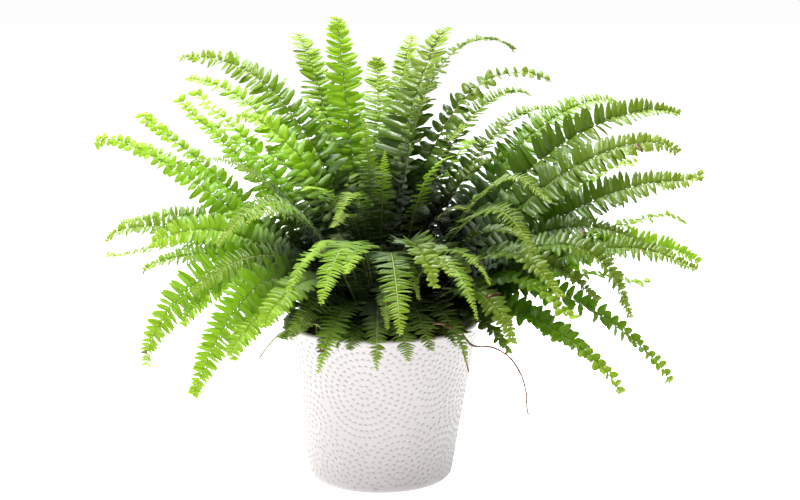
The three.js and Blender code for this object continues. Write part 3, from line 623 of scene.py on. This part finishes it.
def roots_of(tufts):
    """Where the tufts stand: at the mean of their fronds' places, then pushed apart where they are too close."""
    roots = []
    for _, _, _, *rows in tufts:
        radius = np.mean([root_radius(reach, share, height) for _, reach, _, share, height, *_ in rows])
        roots.append(outward(np.mean([row[0] for row in rows])) * radius)
    for _ in range(ROOT_ROUNDS):
        for i, a in enumerate(roots):
            for j, b in enumerate(roots):
                apart = a - b
                gap = np.linalg.norm(apart)
                if i != j and gap < ROOT_SPACING:
                    push = apart / gap * (ROOT_SPACING - gap) * ROOT_PUSH
                    a += push
                    b -= push
            a *= min(1.0, ROOTS_TO / max(1e-9, np.linalg.norm(a)))
    for root in roots:
        root[2] = mound(np.hypot(*root[:2])) + STEM_STRAIGHT
    return roots


def envelope(v, taper):
    """Leaflet length along the blade, 1 at its longest: (v / p)^rise ((1 - v) / (1 - p))^taper."""
    peak = LEAF_RISE / (LEAF_RISE + taper)
    return (v / peak) ** LEAF_RISE * ((1 - v) / (1 - peak)) ** taper


def turned(first, second, angle):
    """Two directions that are square to each other, both turned by an angle in their own plane."""
    return first * np.cos(angle) + second * np.sin(angle), second * np.cos(angle) - first * np.sin(angle)


class Rib:
    """A quadratic curve (1-t)^2 root + 2t(1-t) bend + t^2 tip in the frond's upright plane.

    Its tip curls: each step of the last stretch is turned down by an angle that grows with a power of the length."""

    def __init__(self, row, root, curl):
        azimuth, reach, top, share, height, self.leaf, turn = row
        out = outward(azimuth)
        self.across = np.array([-out[1], out[0], 0.0])
        bend = out * share * reach + [0, 0, height]
        tip = out * reach + [0, 0, top]
        self.turn = math.radians(turn) * (1 if out[0] >= 0 else -1)
        t = np.linspace(0, 1, RIB_SAMPLES)[:, None]
        self.points = (1 - t) ** 2 * root + 2 * t * (1 - t) * bend + t**2 * tip
        steps = np.diff(self.points, axis=0)
        travelled = np.cumsum(np.linalg.norm(steps, axis=1))
        late = np.clip((travelled / travelled[-1] - CURL_FROM) / (1 - CURL_FROM), 0, 1)
        flat, rise = steps @ out, steps[:, 2]
        side = steps - flat[:, None] * out - rise[:, None] * [0, 0, 1]
        flat, rise = turned(flat, rise, math.radians(curl) * late**CURL_GROWTH)
        steps = side + flat[:, None] * out + rise[:, None] * [0, 0, 1]
        self.points[1:] = self.points[0] + np.cumsum(steps, axis=0)
        self.lengths = np.concatenate([[0], travelled])
        self.length = self.lengths[-1]

    def at(self, u):
        """Position, forward, sideways and face directions at shares u of the length."""
        s = np.asarray(u) * self.length
        point = np.stack([np.interp(s, self.lengths, self.points[:, k]) for k in range(3)], -1)
        ahead = np.stack([np.interp(s, self.lengths, np.gradient(self.points[:, k])) for k in range(3)], -1)
        ahead /= np.linalg.norm(ahead, axis=-1, keepdims=True)
        up = np.cross(ahead, self.across)
        up /= np.linalg.norm(up, axis=-1, keepdims=True)
        level = np.cross(up, ahead)
        roll = (self.turn * np.clip(np.asarray(u) / TWIST_SHARE, 0, 1))[:, None]
        side = level * np.cos(roll) + up * np.sin(roll)
        face = up * np.cos(roll) - level * np.sin(roll)
        return point, ahead, side, face


# The grid of a leaflet: shares of its length, and at each a loop from margin to margin and back underneath, whose
# points lie at these places across and at these heights against half its thickness.
STATIONS = np.array([0.0, 0.06, 0.15, 0.27, 0.40, 0.54, 0.68, 0.82, 0.94, 1.0])
LOOP_ACROSS = np.array([-1.0, -0.5, 0.0, 0.5, 1.0, 0.0])
LOOP_ABOVE = np.array([0.0, 1.0, 0.3, 1.0, 0.0, -1.0])
REAR_MARGIN, FRONT_MARGIN, UNDER = 0, 4, 5  # points of that loop
BLADE, RIB = 0, 1  # numbers of a frond's two materials


def leaflet_outline(point):
    """Half widths of a leaflet towards the frond's tip and towards its foot, at each station.

    Nearly parallel sides that end round, (1 - s^3.4)^0.5, or in a point, (1 - s^1.8)^0.9, a narrow base, a
    rounded ear on the upper side, and shallow notches at every other station."""
    s = STATIONS
    end = (1 - point) * (1 - 0.985 * s**3.4) ** 0.5 + point * (1 - 0.985 * s**1.8) ** 0.9
    body = end * (0.55 + 0.45 * np.clip(s / 0.10, 0, 1) ** 0.6)
    notch = np.where((np.arange(len(s)) % 2 == 1) & (s > 0.1) & (s < 0.9), 0.95 - 0.06 * point, 1.03)
    ear = (0.26 + 0.1 * point) * np.exp(-(((s - 0.09) / 0.075) ** 2))
    return body * notch + ear, body * notch - 0.10 * np.exp(-((s / 0.12) ** 2))


def add_rib(shape, rib, root):
    """The rib as a tube from inside the rootstock to the tip, whose radius falls with a power of the length."""
    along = np.linspace(0, 1, RIB_STEPS)
    point, _, side, face = rib.at(along)
    point = np.vstack([root - [0, 0, STEM_STRAIGHT + STEM_SUNK], point])
    side, face = np.vstack([side[:1], side]), np.vstack([face[:1], face])
    neck = RIB_FOOT * RIB_NECK
    radii = np.concatenate([[RIB_FOOT], neck + (RIB_TIP - neck) * along**RIB_TAPER])
    radii *= RIB_SLIM + (1 - RIB_SLIM) * min(1.0, rib.leaf / FULL_LEAF)
    points, faces = tube(point, radii, RIB_SIDES, (side, face))
    place = np.repeat(np.concatenate([[0], along]), RIB_SIDES)
    turn = np.tile(np.arange(RIB_SIDES) / RIB_SIDES, RIB_STEPS + 1)
    shape.add(points, faces, RIB, leaf=np.stack([place, turn], -1))


def on_grid(values):
    """One number or direction for each leaflet, shaped so that it works on every point of the leaflet's grid."""
    return values[:, None, None]


def add_leaflets(shape, rib, habit, vigour, own):
    """Both rows of leaflets, all at once; they stand at shares v of the blade, by a sine closer towards the tip.

    A point of a leaflet is start + a L s + b (bow L s^2 + half width x) + c (cup (1 - x^2) - droop L s^2 + ripple),
    with s from its base to its end, x from its rear margin to its front one, L its length, and a, b and c its own
    directions: outwards from the rib, forward and up."""
    crowd, unruly, quarter = habit["crowd"], habit["unruly"], TURN / 4
    blade = rib.length * (1 - BARE_SHARE)
    spacing = habit["spacing"] * habit["long"] * rib.leaf
    pairs = int(round(blade * (1 + (quarter - 1) * crowd) / spacing))
    even = np.repeat((np.arange(pairs) + 0.5) / pairs, 2)
    v = (1 - crowd) * even + crowd * np.sin(even * quarter)
    pitch = blade / pairs * (1 - crowd + crowd * quarter * np.cos(even * quarter))
    sign = np.tile([-1.0, 1.0], pairs)
    count = len(sign)

    def each(mean, spread):
        """A draw of its own for each leaflet."""
        return mean + own.normal(0, spread, count)

    u = BARE_SHARE + (1 - BARE_SHARE) * v * LEAFY_SHARE
    u = np.clip(each(u, LEAF_STRAY) + sign * LEAF_STAGGER / pairs, 0, LEAF_LAST)
    point, ahead, side, face = rib.at(u)
    length = np.maximum(rib.leaf * habit["long"] * envelope(v, habit["taper"]), habit["least"])
    length *= each(1, LENGTH_SPREAD * unruly)
    wide = 0.5 * np.minimum(habit["fill"] * pitch, LEAF_WIDEST * length) * each(1, WIDTH_SPREAD)
    first, more, power = SWEEP
    sweep = np.radians(each(first + more * v**power, SWEEP_SPREAD * unruly))
    lift = np.radians(each(habit["fold"] + vigour, LIFT_SPREAD * unruly))
    twist = np.radians(each(TWIST[0], TWIST[1] * unruly))
    out, up = turned(side * sign[:, None], face, lift[:, None])
    a, b = turned(out, ahead, sweep[:, None])
    b, c = turned(b, up, twist[:, None])

    s = STATIONS[None, :, None]
    x = LOOP_ACROSS[None, None, :]
    front, rear = leaflet_outline(habit["point"])
    half = np.where(x > 0, front[None, :, None], rear[None, :, None]) * on_grid(wide)
    forward = on_grid(each(*BOW) * length) * s**2 + half * x
    droop = on_grid(each(DROOP[0], DROOP[1] * unruly) * length) * s**2
    cup = on_grid(each(*CUP)) * half * (1 - x**2) * (1 - CUP_FADE * s)
    ripple = on_grid(each(0, RIPPLE * unruly) * length)
    ripple = ripple * np.sin(s * RIPPLE_RATE + on_grid(own.uniform(*ANY_PHASE, count))) * x
    above = cup - droop + ripple + LEAF_THICK * 0.5 * LOOP_ABOVE[None, None, :] * (1 - 0.5 * s)
    forward, above = turned(forward, above, on_grid(np.radians(each(0, ROLL_SPREAD * unruly))) * s)
    grid = (
        on_grid(point + a * LEAF_START)
        + on_grid(a) * (on_grid(length) * s)[..., None]
        + on_grid(b) * forward[..., None]
        + on_grid(c) * above[..., None]
    )
    size = grid.shape[:3]
    per = size[1] * size[2]
    base = np.arange(count) * per
    faces = []
    for row in (-1, 1):
        faces += repeated(ring_faces(*size[1:], flip=row < 0), base[sign == row])
    tone = np.clip(each(own.uniform(*FROND_TONES), TONE_SPREAD), 0, 1)
    tone[own.uniform(size=count) < AGED_SHARE] = AGED
    margin = np.zeros(size, int)
    margin[:, :, REAR_MARGIN], margin[:, :, FRONT_MARGIN] = 1, 2
    across = np.broadcast_to(x * 0.5 + 0.5, size).copy()
    across[:, :, UNDER] = UNDERSIDE
    shape.add(
        grid.reshape(-1, 3),
        faces,
        BLADE,
        leaf=np.stack([np.broadcast_to(s, size).ravel(), across.ravel()], -1),
        frond=np.stack([np.repeat(v, per), np.repeat(tone, per)], -1),
        margins=margin.ravel(),
    )


SLOTS = {FRESH: "frond_fresh", GREEN: "frond_green", DEEP: "frond_deep"}
for (name, finish, habit, *rows), root in zip(TUFTS, roots_of(TUFTS)):
    tuft = Shape()
    for row in rows:
        vigour = rng.normal(0, VIGOUR)
        own = np.random.default_rng(int(row[0] * 7 + row[1] * 13 + row[2]))
        rib = Rib(row, root, own.normal(*CURL))
        add_rib(tuft, rib, root)
        add_leaflets(tuft, rib, habit, vigour, own)
    stalk = RIB_DARK if name == "top_1" else RIB_LIGHT
    tuft.build("fern_" + name, [finish, stalk], ["frond_" + name], SLOTS[finish])


# ------------------------------------------------------------------ pot
def pot_radius(z):
    """Radius of the outer wall, which leans out evenly from foot to rim."""
    return POT_FOOT_RADIUS + (POT_TOP_RADIUS - POT_FOOT_RADIUS) * np.asarray(z) / POT_HEIGHT


def inner_radius(z):
    return pot_radius(z) - POT_WALL


def rounding(radius, height, size, start, end, steps):
    """Points of a rounding of the profile, on a circle about (radius, height), from one angle to another."""
    a = np.radians(np.linspace(start, end, steps))
    return np.stack([radius + size * np.cos(a), height + size * np.sin(a)], -1)


def pot_profile():
    """The pot's section as (radius, height): foot, leaning wall, round lip, and the inner wall to its floor."""
    foot, lip = POT_FOOT_ROUNDING, POT_LIP_ROUNDING
    wall = np.linspace(foot, POT_HEIGHT - lip, POT_RINGS)[1:-1]
    inside = np.linspace(POT_HEIGHT - lip - 2, POT_FLOOR, POT_INNER_RINGS)
    return np.concatenate([
        [[CAP_BELOW, 0.0]],
        rounding(pot_radius(foot) - foot, foot, foot, -90, -POT_WALL_LEAN, POT_FOOT_STEPS),
        np.stack([pot_radius(wall), wall], -1),
        rounding(POT_TOP_RADIUS - lip, POT_HEIGHT - lip, lip, -POT_WALL_LEAN, 90, POT_LIP_STEPS),
        rounding(POT_TOP_RADIUS - POT_WALL + lip, POT_HEIGHT - lip, lip, 90, POT_LIP_END, POT_LIP_STEPS),
        np.stack([inner_radius(inside), inside], -1),
        [[CAP_BELOW, POT_FLOOR]],
    ])


# Medallions of dotted rings, in two rows round the wall: azimuth, height, and how far each outgrows its
# neighbours. Two dots of neighbouring medallions that come too close are one dot.
MEDALLIONS = [
    (260, 95, 16), (305, 115, 2), (350, 80, 6), (35, 105, 8), (75, 95, 4), (120, 105, 10), (165, 90, 6),
    (215, 60, 4), (240, 20, 2), (285, 25, 4), (320, 20, 2), (20, 30, 4), (60, 25, 6), (105, 40, 8),
    (150, 25, 4), (190, 115, 0), (195, 20, 2),
]
MEDALLION_RINGS = 12
FIRST_RING = 6.0
RING_STEP = 6.0
DOT_STEP = 5.0  # distance between the dots of a ring
DOTS_APART = 3.8  # least distance between any two
DOTS_FROM = 4.5  # height of the lowest dots
DOTS_BELOW_RIM = 3.5
DOT_RADIUS = 1.7
DOT_HEIGHT = 0.5
DOT_LEVELS = [-12, 20, 48, 76]  # degrees up the dome at which it has a ring of vertices
DOT_SIDES = 9


def dot_places():
    """Azimuth and height of each dot: rings about each medallion's middle, as far as its neighbours let them."""
    rows = []
    for index, (azimuth, height, _) in enumerate(MEDALLIONS):
        radius = np.concatenate([[0.0], FIRST_RING + RING_STEP * np.arange(MEDALLION_RINGS)])
        number = np.maximum(1, np.round(TURN * radius / DOT_STEP)).astype(int)
        ring = np.repeat(np.arange(len(radius)), number)
        place = np.arange(number.sum()) - np.repeat(np.cumsum(number) - number, number) + 0.5 * (ring % 2)
        angle = TURN * place / number[ring]
        z = height + radius[ring] * np.sin(angle)
        turn = math.radians(azimuth) + radius[ring] * np.cos(angle) / pot_radius(height)
        reach = []
        for azimuth2, height2, lead in MEDALLIONS:
            apart = (turn - math.radians(azimuth2) + math.pi) % TURN - math.pi
            reach.append(np.hypot(apart * pot_radius(height2), z - height2) - lead)
        keep = (np.argmin(reach, 0) == index) & (z > DOTS_FROM) & (z < POT_HEIGHT - DOTS_BELOW_RIM)
        rows.append(np.stack([turn, z], -1)[keep])
    rows = np.concatenate(rows)
    turn, z = rows.T
    flat = np.stack([pot_radius(z) * np.cos(turn), pot_radius(z) * np.sin(turn), z], -1)
    near = np.linalg.norm(flat[:, None] - flat[None], axis=-1) < DOTS_APART
    return rows[~np.triu(near, 1).any(0)]


def dots_shape():
    """Each dot is a low dome on the wall: rings of radius r cos p at height h sin p, its foot sunk in."""
    turn, z = dot_places().T
    slope = (POT_TOP_RADIUS - POT_FOOT_RADIUS) / POT_HEIGHT
    out = np.stack([np.cos(turn), np.sin(turn), np.zeros_like(turn)], -1)
    across = np.stack([-np.sin(turn), np.cos(turn), np.zeros_like(turn)], -1)
    up = np.stack([slope * np.cos(turn), slope * np.sin(turn), np.ones_like(turn)], -1)
    up /= np.linalg.norm(up, axis=1, keepdims=True)
    normal = np.cross(across, up)
    middle = out * pot_radius(z)[:, None] + np.stack([0 * z, 0 * z, z], -1)
    level = np.radians(DOT_LEVELS)
    rings = np.stack([DOT_RADIUS * np.cos(level), DOT_HEIGHT * np.sin(level)], -1)
    a = around(DOT_SIDES)
    grid = np.stack([
        middle[:, None]
        + r * (across[:, None] * np.cos(a)[None, :, None] + up[:, None] * np.sin(a)[None, :, None])
        + normal[:, None] * h
        for r, h in rings
    ], 1)
    share = np.repeat(np.linspace(0, 1, len(rings)), DOT_SIDES)
    above = np.tile(share, len(turn))
    faces = repeated(ring_faces(len(rings), DOT_SIDES), np.arange(len(turn)) * len(share))
    shape = Shape()
    shape.add(grid.reshape(-1, 3), faces, leaf=np.stack([above, 0 * above], -1))
    return shape


pot = Shape()
pot.add(*revolve(pot_profile(), POT_SIDES))
pot.build("pot_body", [pot_finish("pot_white", False)], ["pot"], "pot")
dots_shape().build("pot_dots", [pot_finish("pot_beads", True)], [], "pot")

# ------------------------------------------------------------------ soil and rootstock
SOIL = soil_finish()
CRUMBS = 260
CRUMBS_OUT = 76  # distance of the furthest crumbs from the axis
CRUMBS_IN = 0.42  # share of that disc's area, about its middle, without crumbs
CRUMB_SIZE = (0.8, 2.3)
CRUMB_STRETCH = (0.6, 1.3)
CRUMB_ROUGH = 0.2
CRUMB_RISE = 0.2  # how far its middle lies above the soil
CRUMB_LEVELS = [14, 48, 90, 132, 166]  # degrees from its lowest point at which it has a ring of vertices
CRUMB_SIDES = 7
BRISTLES = 420
BRISTLES_IN = 3  # how far they stay from the rootstock's edge
BRISTLE_SUNK = 1.0
BRISTLE_HEIGHT = (2.5, 7.0)
BRISTLE_LEAN = 3.2
BRISTLE_RADII = [0.45, 0.36, 0.24, 0.06]


def rolled(points, top, roll, seed, octaves):
    """Lifts the points of a top by a sum of waves and lets them down a little."""
    height, length, down = roll
    points[top, 2] += height * waves(points[top], length, seed, octaves) - down
    return points


def soil_shape():
    """A plug that fills the pot: its top rolls by a sum of waves, and its wall follows the pot's."""
    floor, edge = POT_FLOOR + SOIL_FLOOR_GAP, inner_radius(SOIL_TOP) - SOIL_GAP
    profile = [(CAP_BELOW, floor), (inner_radius(POT_FLOOR) - SOIL_GAP, floor), (edge, SOIL_TOP - SOIL_SETTLED)]
    profile += [(r, SOIL_TOP) for r in np.linspace(edge - 0.6, SOIL_CAP, SOIL_RINGS)]
    points, faces = revolve(profile, SOIL_SIDES)
    shape = Shape()
    shape.add(rolled(points, points[:, 2] > SOIL_TOP - 1, SOIL_ROLL, seed=5, octaves=3), faces)
    return shape


def crumbs_shape():
    """Soil crumbs and bark: small balls, each stretched and roughened at random, half sunk in the soil."""
    turn = rng.uniform(0, TURN, CRUMBS)
    reach = np.sqrt(rng.uniform(CRUMBS_IN, 1, CRUMBS)) * CRUMBS_OUT
    size = rng.uniform(*CRUMB_SIZE, CRUMBS)
    level, a = np.radians(CRUMB_LEVELS), around(CRUMB_SIDES)
    ball = np.stack([np.outer(np.sin(level), np.cos(a)), np.outer(np.sin(level), np.sin(a)),
                     np.repeat(-np.cos(level)[:, None], CRUMB_SIDES, 1)], -1).reshape(-1, 3)
    middle = np.stack([reach * np.cos(turn), reach * np.sin(turn), np.full(CRUMBS, SOIL_TOP + CRUMB_RISE)], -1)
    stretch = rng.uniform(*CRUMB_STRETCH, (CRUMBS, 1, 3))
    stretch = stretch * (1 + CRUMB_ROUGH * rng.normal(size=(CRUMBS, len(ball), 1)))
    points = middle[:, None] + ball[None] * stretch * size[:, None, None]
    shape = Shape()
    shape.add(points.reshape(-1, 3),
              repeated(ring_faces(len(level), CRUMB_SIDES), np.arange(CRUMBS) * len(ball)))
    return shape


def crown_shape():
    """A low mound roughened by waves, and bristly old stalk scales, thin tubes that lean by a square."""
    edge, below = CROWN_RADIUS - CROWN_GAP, SOIL_TOP - CROWN_DEPTH
    profile = [(CAP_BELOW, below), (edge, below)]
    profile += [(r, mound(r)) for r in np.linspace(edge, CROWN_CAP, CROWN_RINGS)]
    points, faces = revolve(profile, CROWN_SIDES)
    shape = Shape()
    shape.add(rolled(points, points[:, 2] > SOIL_TOP, CROWN_ROLL, seed=9, octaves=4), faces)
    turn = rng.uniform(0, TURN, BRISTLES)
    reach = np.sqrt(rng.uniform(0, 1, BRISTLES)) * (CROWN_RADIUS - BRISTLES_IN)
    share = np.linspace(0, 1, len(BRISTLE_RADII))
    for t, r in zip(turn, reach):
        foot = np.array([r * math.cos(t), r * math.sin(t), mound(r) - BRISTLE_SUNK])
        lean = rng.normal(0, BRISTLE_LEAN, 3) * [1, 1, 0]
        high = rng.uniform(*BRISTLE_HEIGHT)
        line = foot + np.outer(share, [0, 0, high]) + np.outer(share**2, lean)
        shape.add(*tube(line, BRISTLE_RADII, 4))
    return shape


soil_shape().build("soil_top", [SOIL], ["soil"], "soil")
crumbs_shape().build("soil_crumbs", [SOIL], [], "soil")
crown_shape().build("rootstock", [crown_finish()], ["crown"], "crown")

# ------------------------------------------------------------------ runners
RUNNER_BROWN = strand_finish("strand_brown", (0.09, 0.04, 0.02), (0.30, 0.16, 0.08))
RUNNER_GREEN = strand_finish("strand_green", (0.16, 0.20, 0.04), (0.42, 0.46, 0.16))
RUNNERS = [
    ("runner_1", RUNNER_BROWN, [
        (38, -59, 119), (39, -61, 134), (46, -74, 155), (60, -88, 154), (69, -95, 140), (75, -98, 119)]),
    ("runner_2", RUNNER_BROWN, [
        (54, -45, 119), (55, -46, 134), (62, -58, 154), (77, -70, 136), (95, -80, 136), (110, -86, 128),
        (120, -90, 112), (124, -90, 92), (126, -90, 80)]),
    ("runner_3", RUNNER_GREEN, [
        (-42, -51, 119), (-43, -52, 134), (-54, -70, 154), (-74, -92, 156), (-90, -104, 146),
        (-100, -110, 133)]),
]
RUNNER_STEPS = 90
RUNNER_RADII = (1.1 * 0.9, 0.75 * 0.9)  # at its foot and its end
RUNNER_SIDES = 8
RUNNER_WANDER = (0.7, 26)  # height and length of the waves by which it strays
RUNNER_SWELL = (0.25, 10)  # share and length of the waves by which its radius swells
HAIRS = 12
HAIRS_BETWEEN = (30, 86)  # steps of the runner
HAIR_LENGTH = (2.0, 6.5)
HAIR_RADII = (0.26, 0.08)
HAIR_DROOP = 0.3
BUD_CHANCE = 0.4
BUD_HALF = 1.2
BUD_RADIUS = 0.85


def smooth_path(points, steps):
    """A Catmull-Rom curve: each stretch is a cubic through its two points, steered by the two beside them."""
    p = np.asarray(points, float)
    p = np.vstack([2 * p[0] - p[1], p, 2 * p[-1] - p[-2]])
    t = np.linspace(0, len(points) - 1, steps)
    i = np.clip(t.astype(int), 0, len(points) - 2)
    f = (t - i)[:, None]
    a, b, c, d = p[i], p[i + 1], p[i + 2], p[i + 3]
    return 0.5 * (2 * b + (c - a) * f + (2 * a - 5 * b + 4 * c - d) * f**2 + (3 * b - a - 3 * c + d) * f**3)


def runner_shape(points, seed):
    """A wiry tube that strays from its path by waves, with drooping side hairs and a few buds.

    A bud is a tube whose radius follows a half circle, (1 - t^2)^0.5."""
    own = np.random.default_rng(seed)
    line = smooth_path(points, RUNNER_STEPS)
    far, size = RUNNER_WANDER
    line += np.stack([waves(line, size, seed + k) for k in range(3)], -1) * far
    share, size = RUNNER_SWELL
    swell = 1 + share * waves(line * 3, size, seed + 8)
    shape = Shape()
    shape.add(*tube(line, swell * np.linspace(*RUNNER_RADII, RUNNER_STEPS), RUNNER_SIDES))
    t = np.linspace(0, 1, 5)
    half = np.linspace(-1, 1, 6)
    for place in np.linspace(*HAIRS_BETWEEN, HAIRS).astype(int):
        way = own.normal(size=3)
        way /= np.linalg.norm(way)
        long = own.uniform(*HAIR_LENGTH)
        hair = line[place] + np.outer(t, way * long)
        hair[:, 2] -= t**2 * long * HAIR_DROOP
        shape.add(*tube(hair, np.linspace(*HAIR_RADII, 5), 5))
        if own.uniform() < BUD_CHANCE:
            bud = line[place] + np.outer(half * BUD_HALF, way)
            shape.add(*tube(bud, BUD_RADIUS * np.sqrt(1.02 - half**2), 7))
    return shape


for number, (name, finish, points) in enumerate(RUNNERS):
    slot = "runner_green" if finish == RUNNER_GREEN else "runner_brown"
    runner_shape(points, 60 + number).build("strand_" + name[-1], [finish], [name], slot)

# ------------------------------------------------------------------ floor, light and camera
floor = bpy.data.objects.new("floor", bpy.data.meshes.new("floor"))
corners = [(x * FLOOR_HALF, y * FLOOR_HALF, 0) for x, y in ((-1, -1), (1, -1), (1, 1), (-1, 1))]
floor.data.from_pydata(corners, [], [(0, 1, 2, 3)])
floor.data.materials.append(floor_finish())
bpy.context.scene.collection.objects.link(floor)


def studio_world():
    """A plain pale room that lights evenly from all sides."""
    world = bpy.data.worlds.new("studio")
    world.use_nodes = True
    back = world.node_tree.nodes["Background"]
    back.inputs[0].default_value = (0.97, 0.985, 1.0, 1.0)
    back.inputs[1].default_value = WORLD_LIGHT
    bpy.context.scene.world = world


def lamp(name, place, aim, size, power, colour):
    """A soft round lamp that faces a point: its size in metres, its power in watts."""
    data = bpy.data.lights.new(name, "AREA")
    data.shape, data.size, data.energy, data.color = "DISK", size, power, colour
    made = bpy.data.objects.new(name, data)
    made.location = place
    made.rotation_euler = (Vector(aim) - Vector(place)).to_track_quat("-Z", "Y").to_euler()
    bpy.context.scene.collection.objects.link(made)


studio_world()
lamp("back", (0.4, 1.0, 2.3), (0, 0, 0.25), 1.3, 80, (0.88, 0.95, 1.0))
lamp("side", (-1.6, 1.0, 1.2), (0, 0, 0.25), 0.7, 46, (1.0, 1.0, 0.97))
lamp("left", (-1.7, -0.5, 0.9), (0, 0, 0.2), 1.0, 7.5, (0.90, 0.95, 1.0))
lamp("top", (-0.1, 0.0, 2.1), (0, 0, 0.25), 0.35, 54, (1.0, 1.0, 0.96))

camera = bpy.data.objects.new("camera", bpy.data.cameras.new("camera"))
camera.data.sensor_width = SENSOR_MM
camera.data.lens = SENSOR_MM * VIEW_DISTANCE / (PICTURE_WIDTH * MM_PER_PIXEL * MM)
down = math.radians(VIEW_DOWN)
ahead = Vector((0, math.cos(down), -math.sin(down)))
camera.location = VIEW_AIM - ahead * VIEW_DISTANCE
camera.rotation_euler = ahead.to_track_quat("-Z", "Y").to_euler()
camera.data.clip_end = 100
bpy.context.scene.collection.objects.link(camera)
bpy.context.scene.camera = camera
bpy.context.scene.view_settings.view_transform = "Standard"
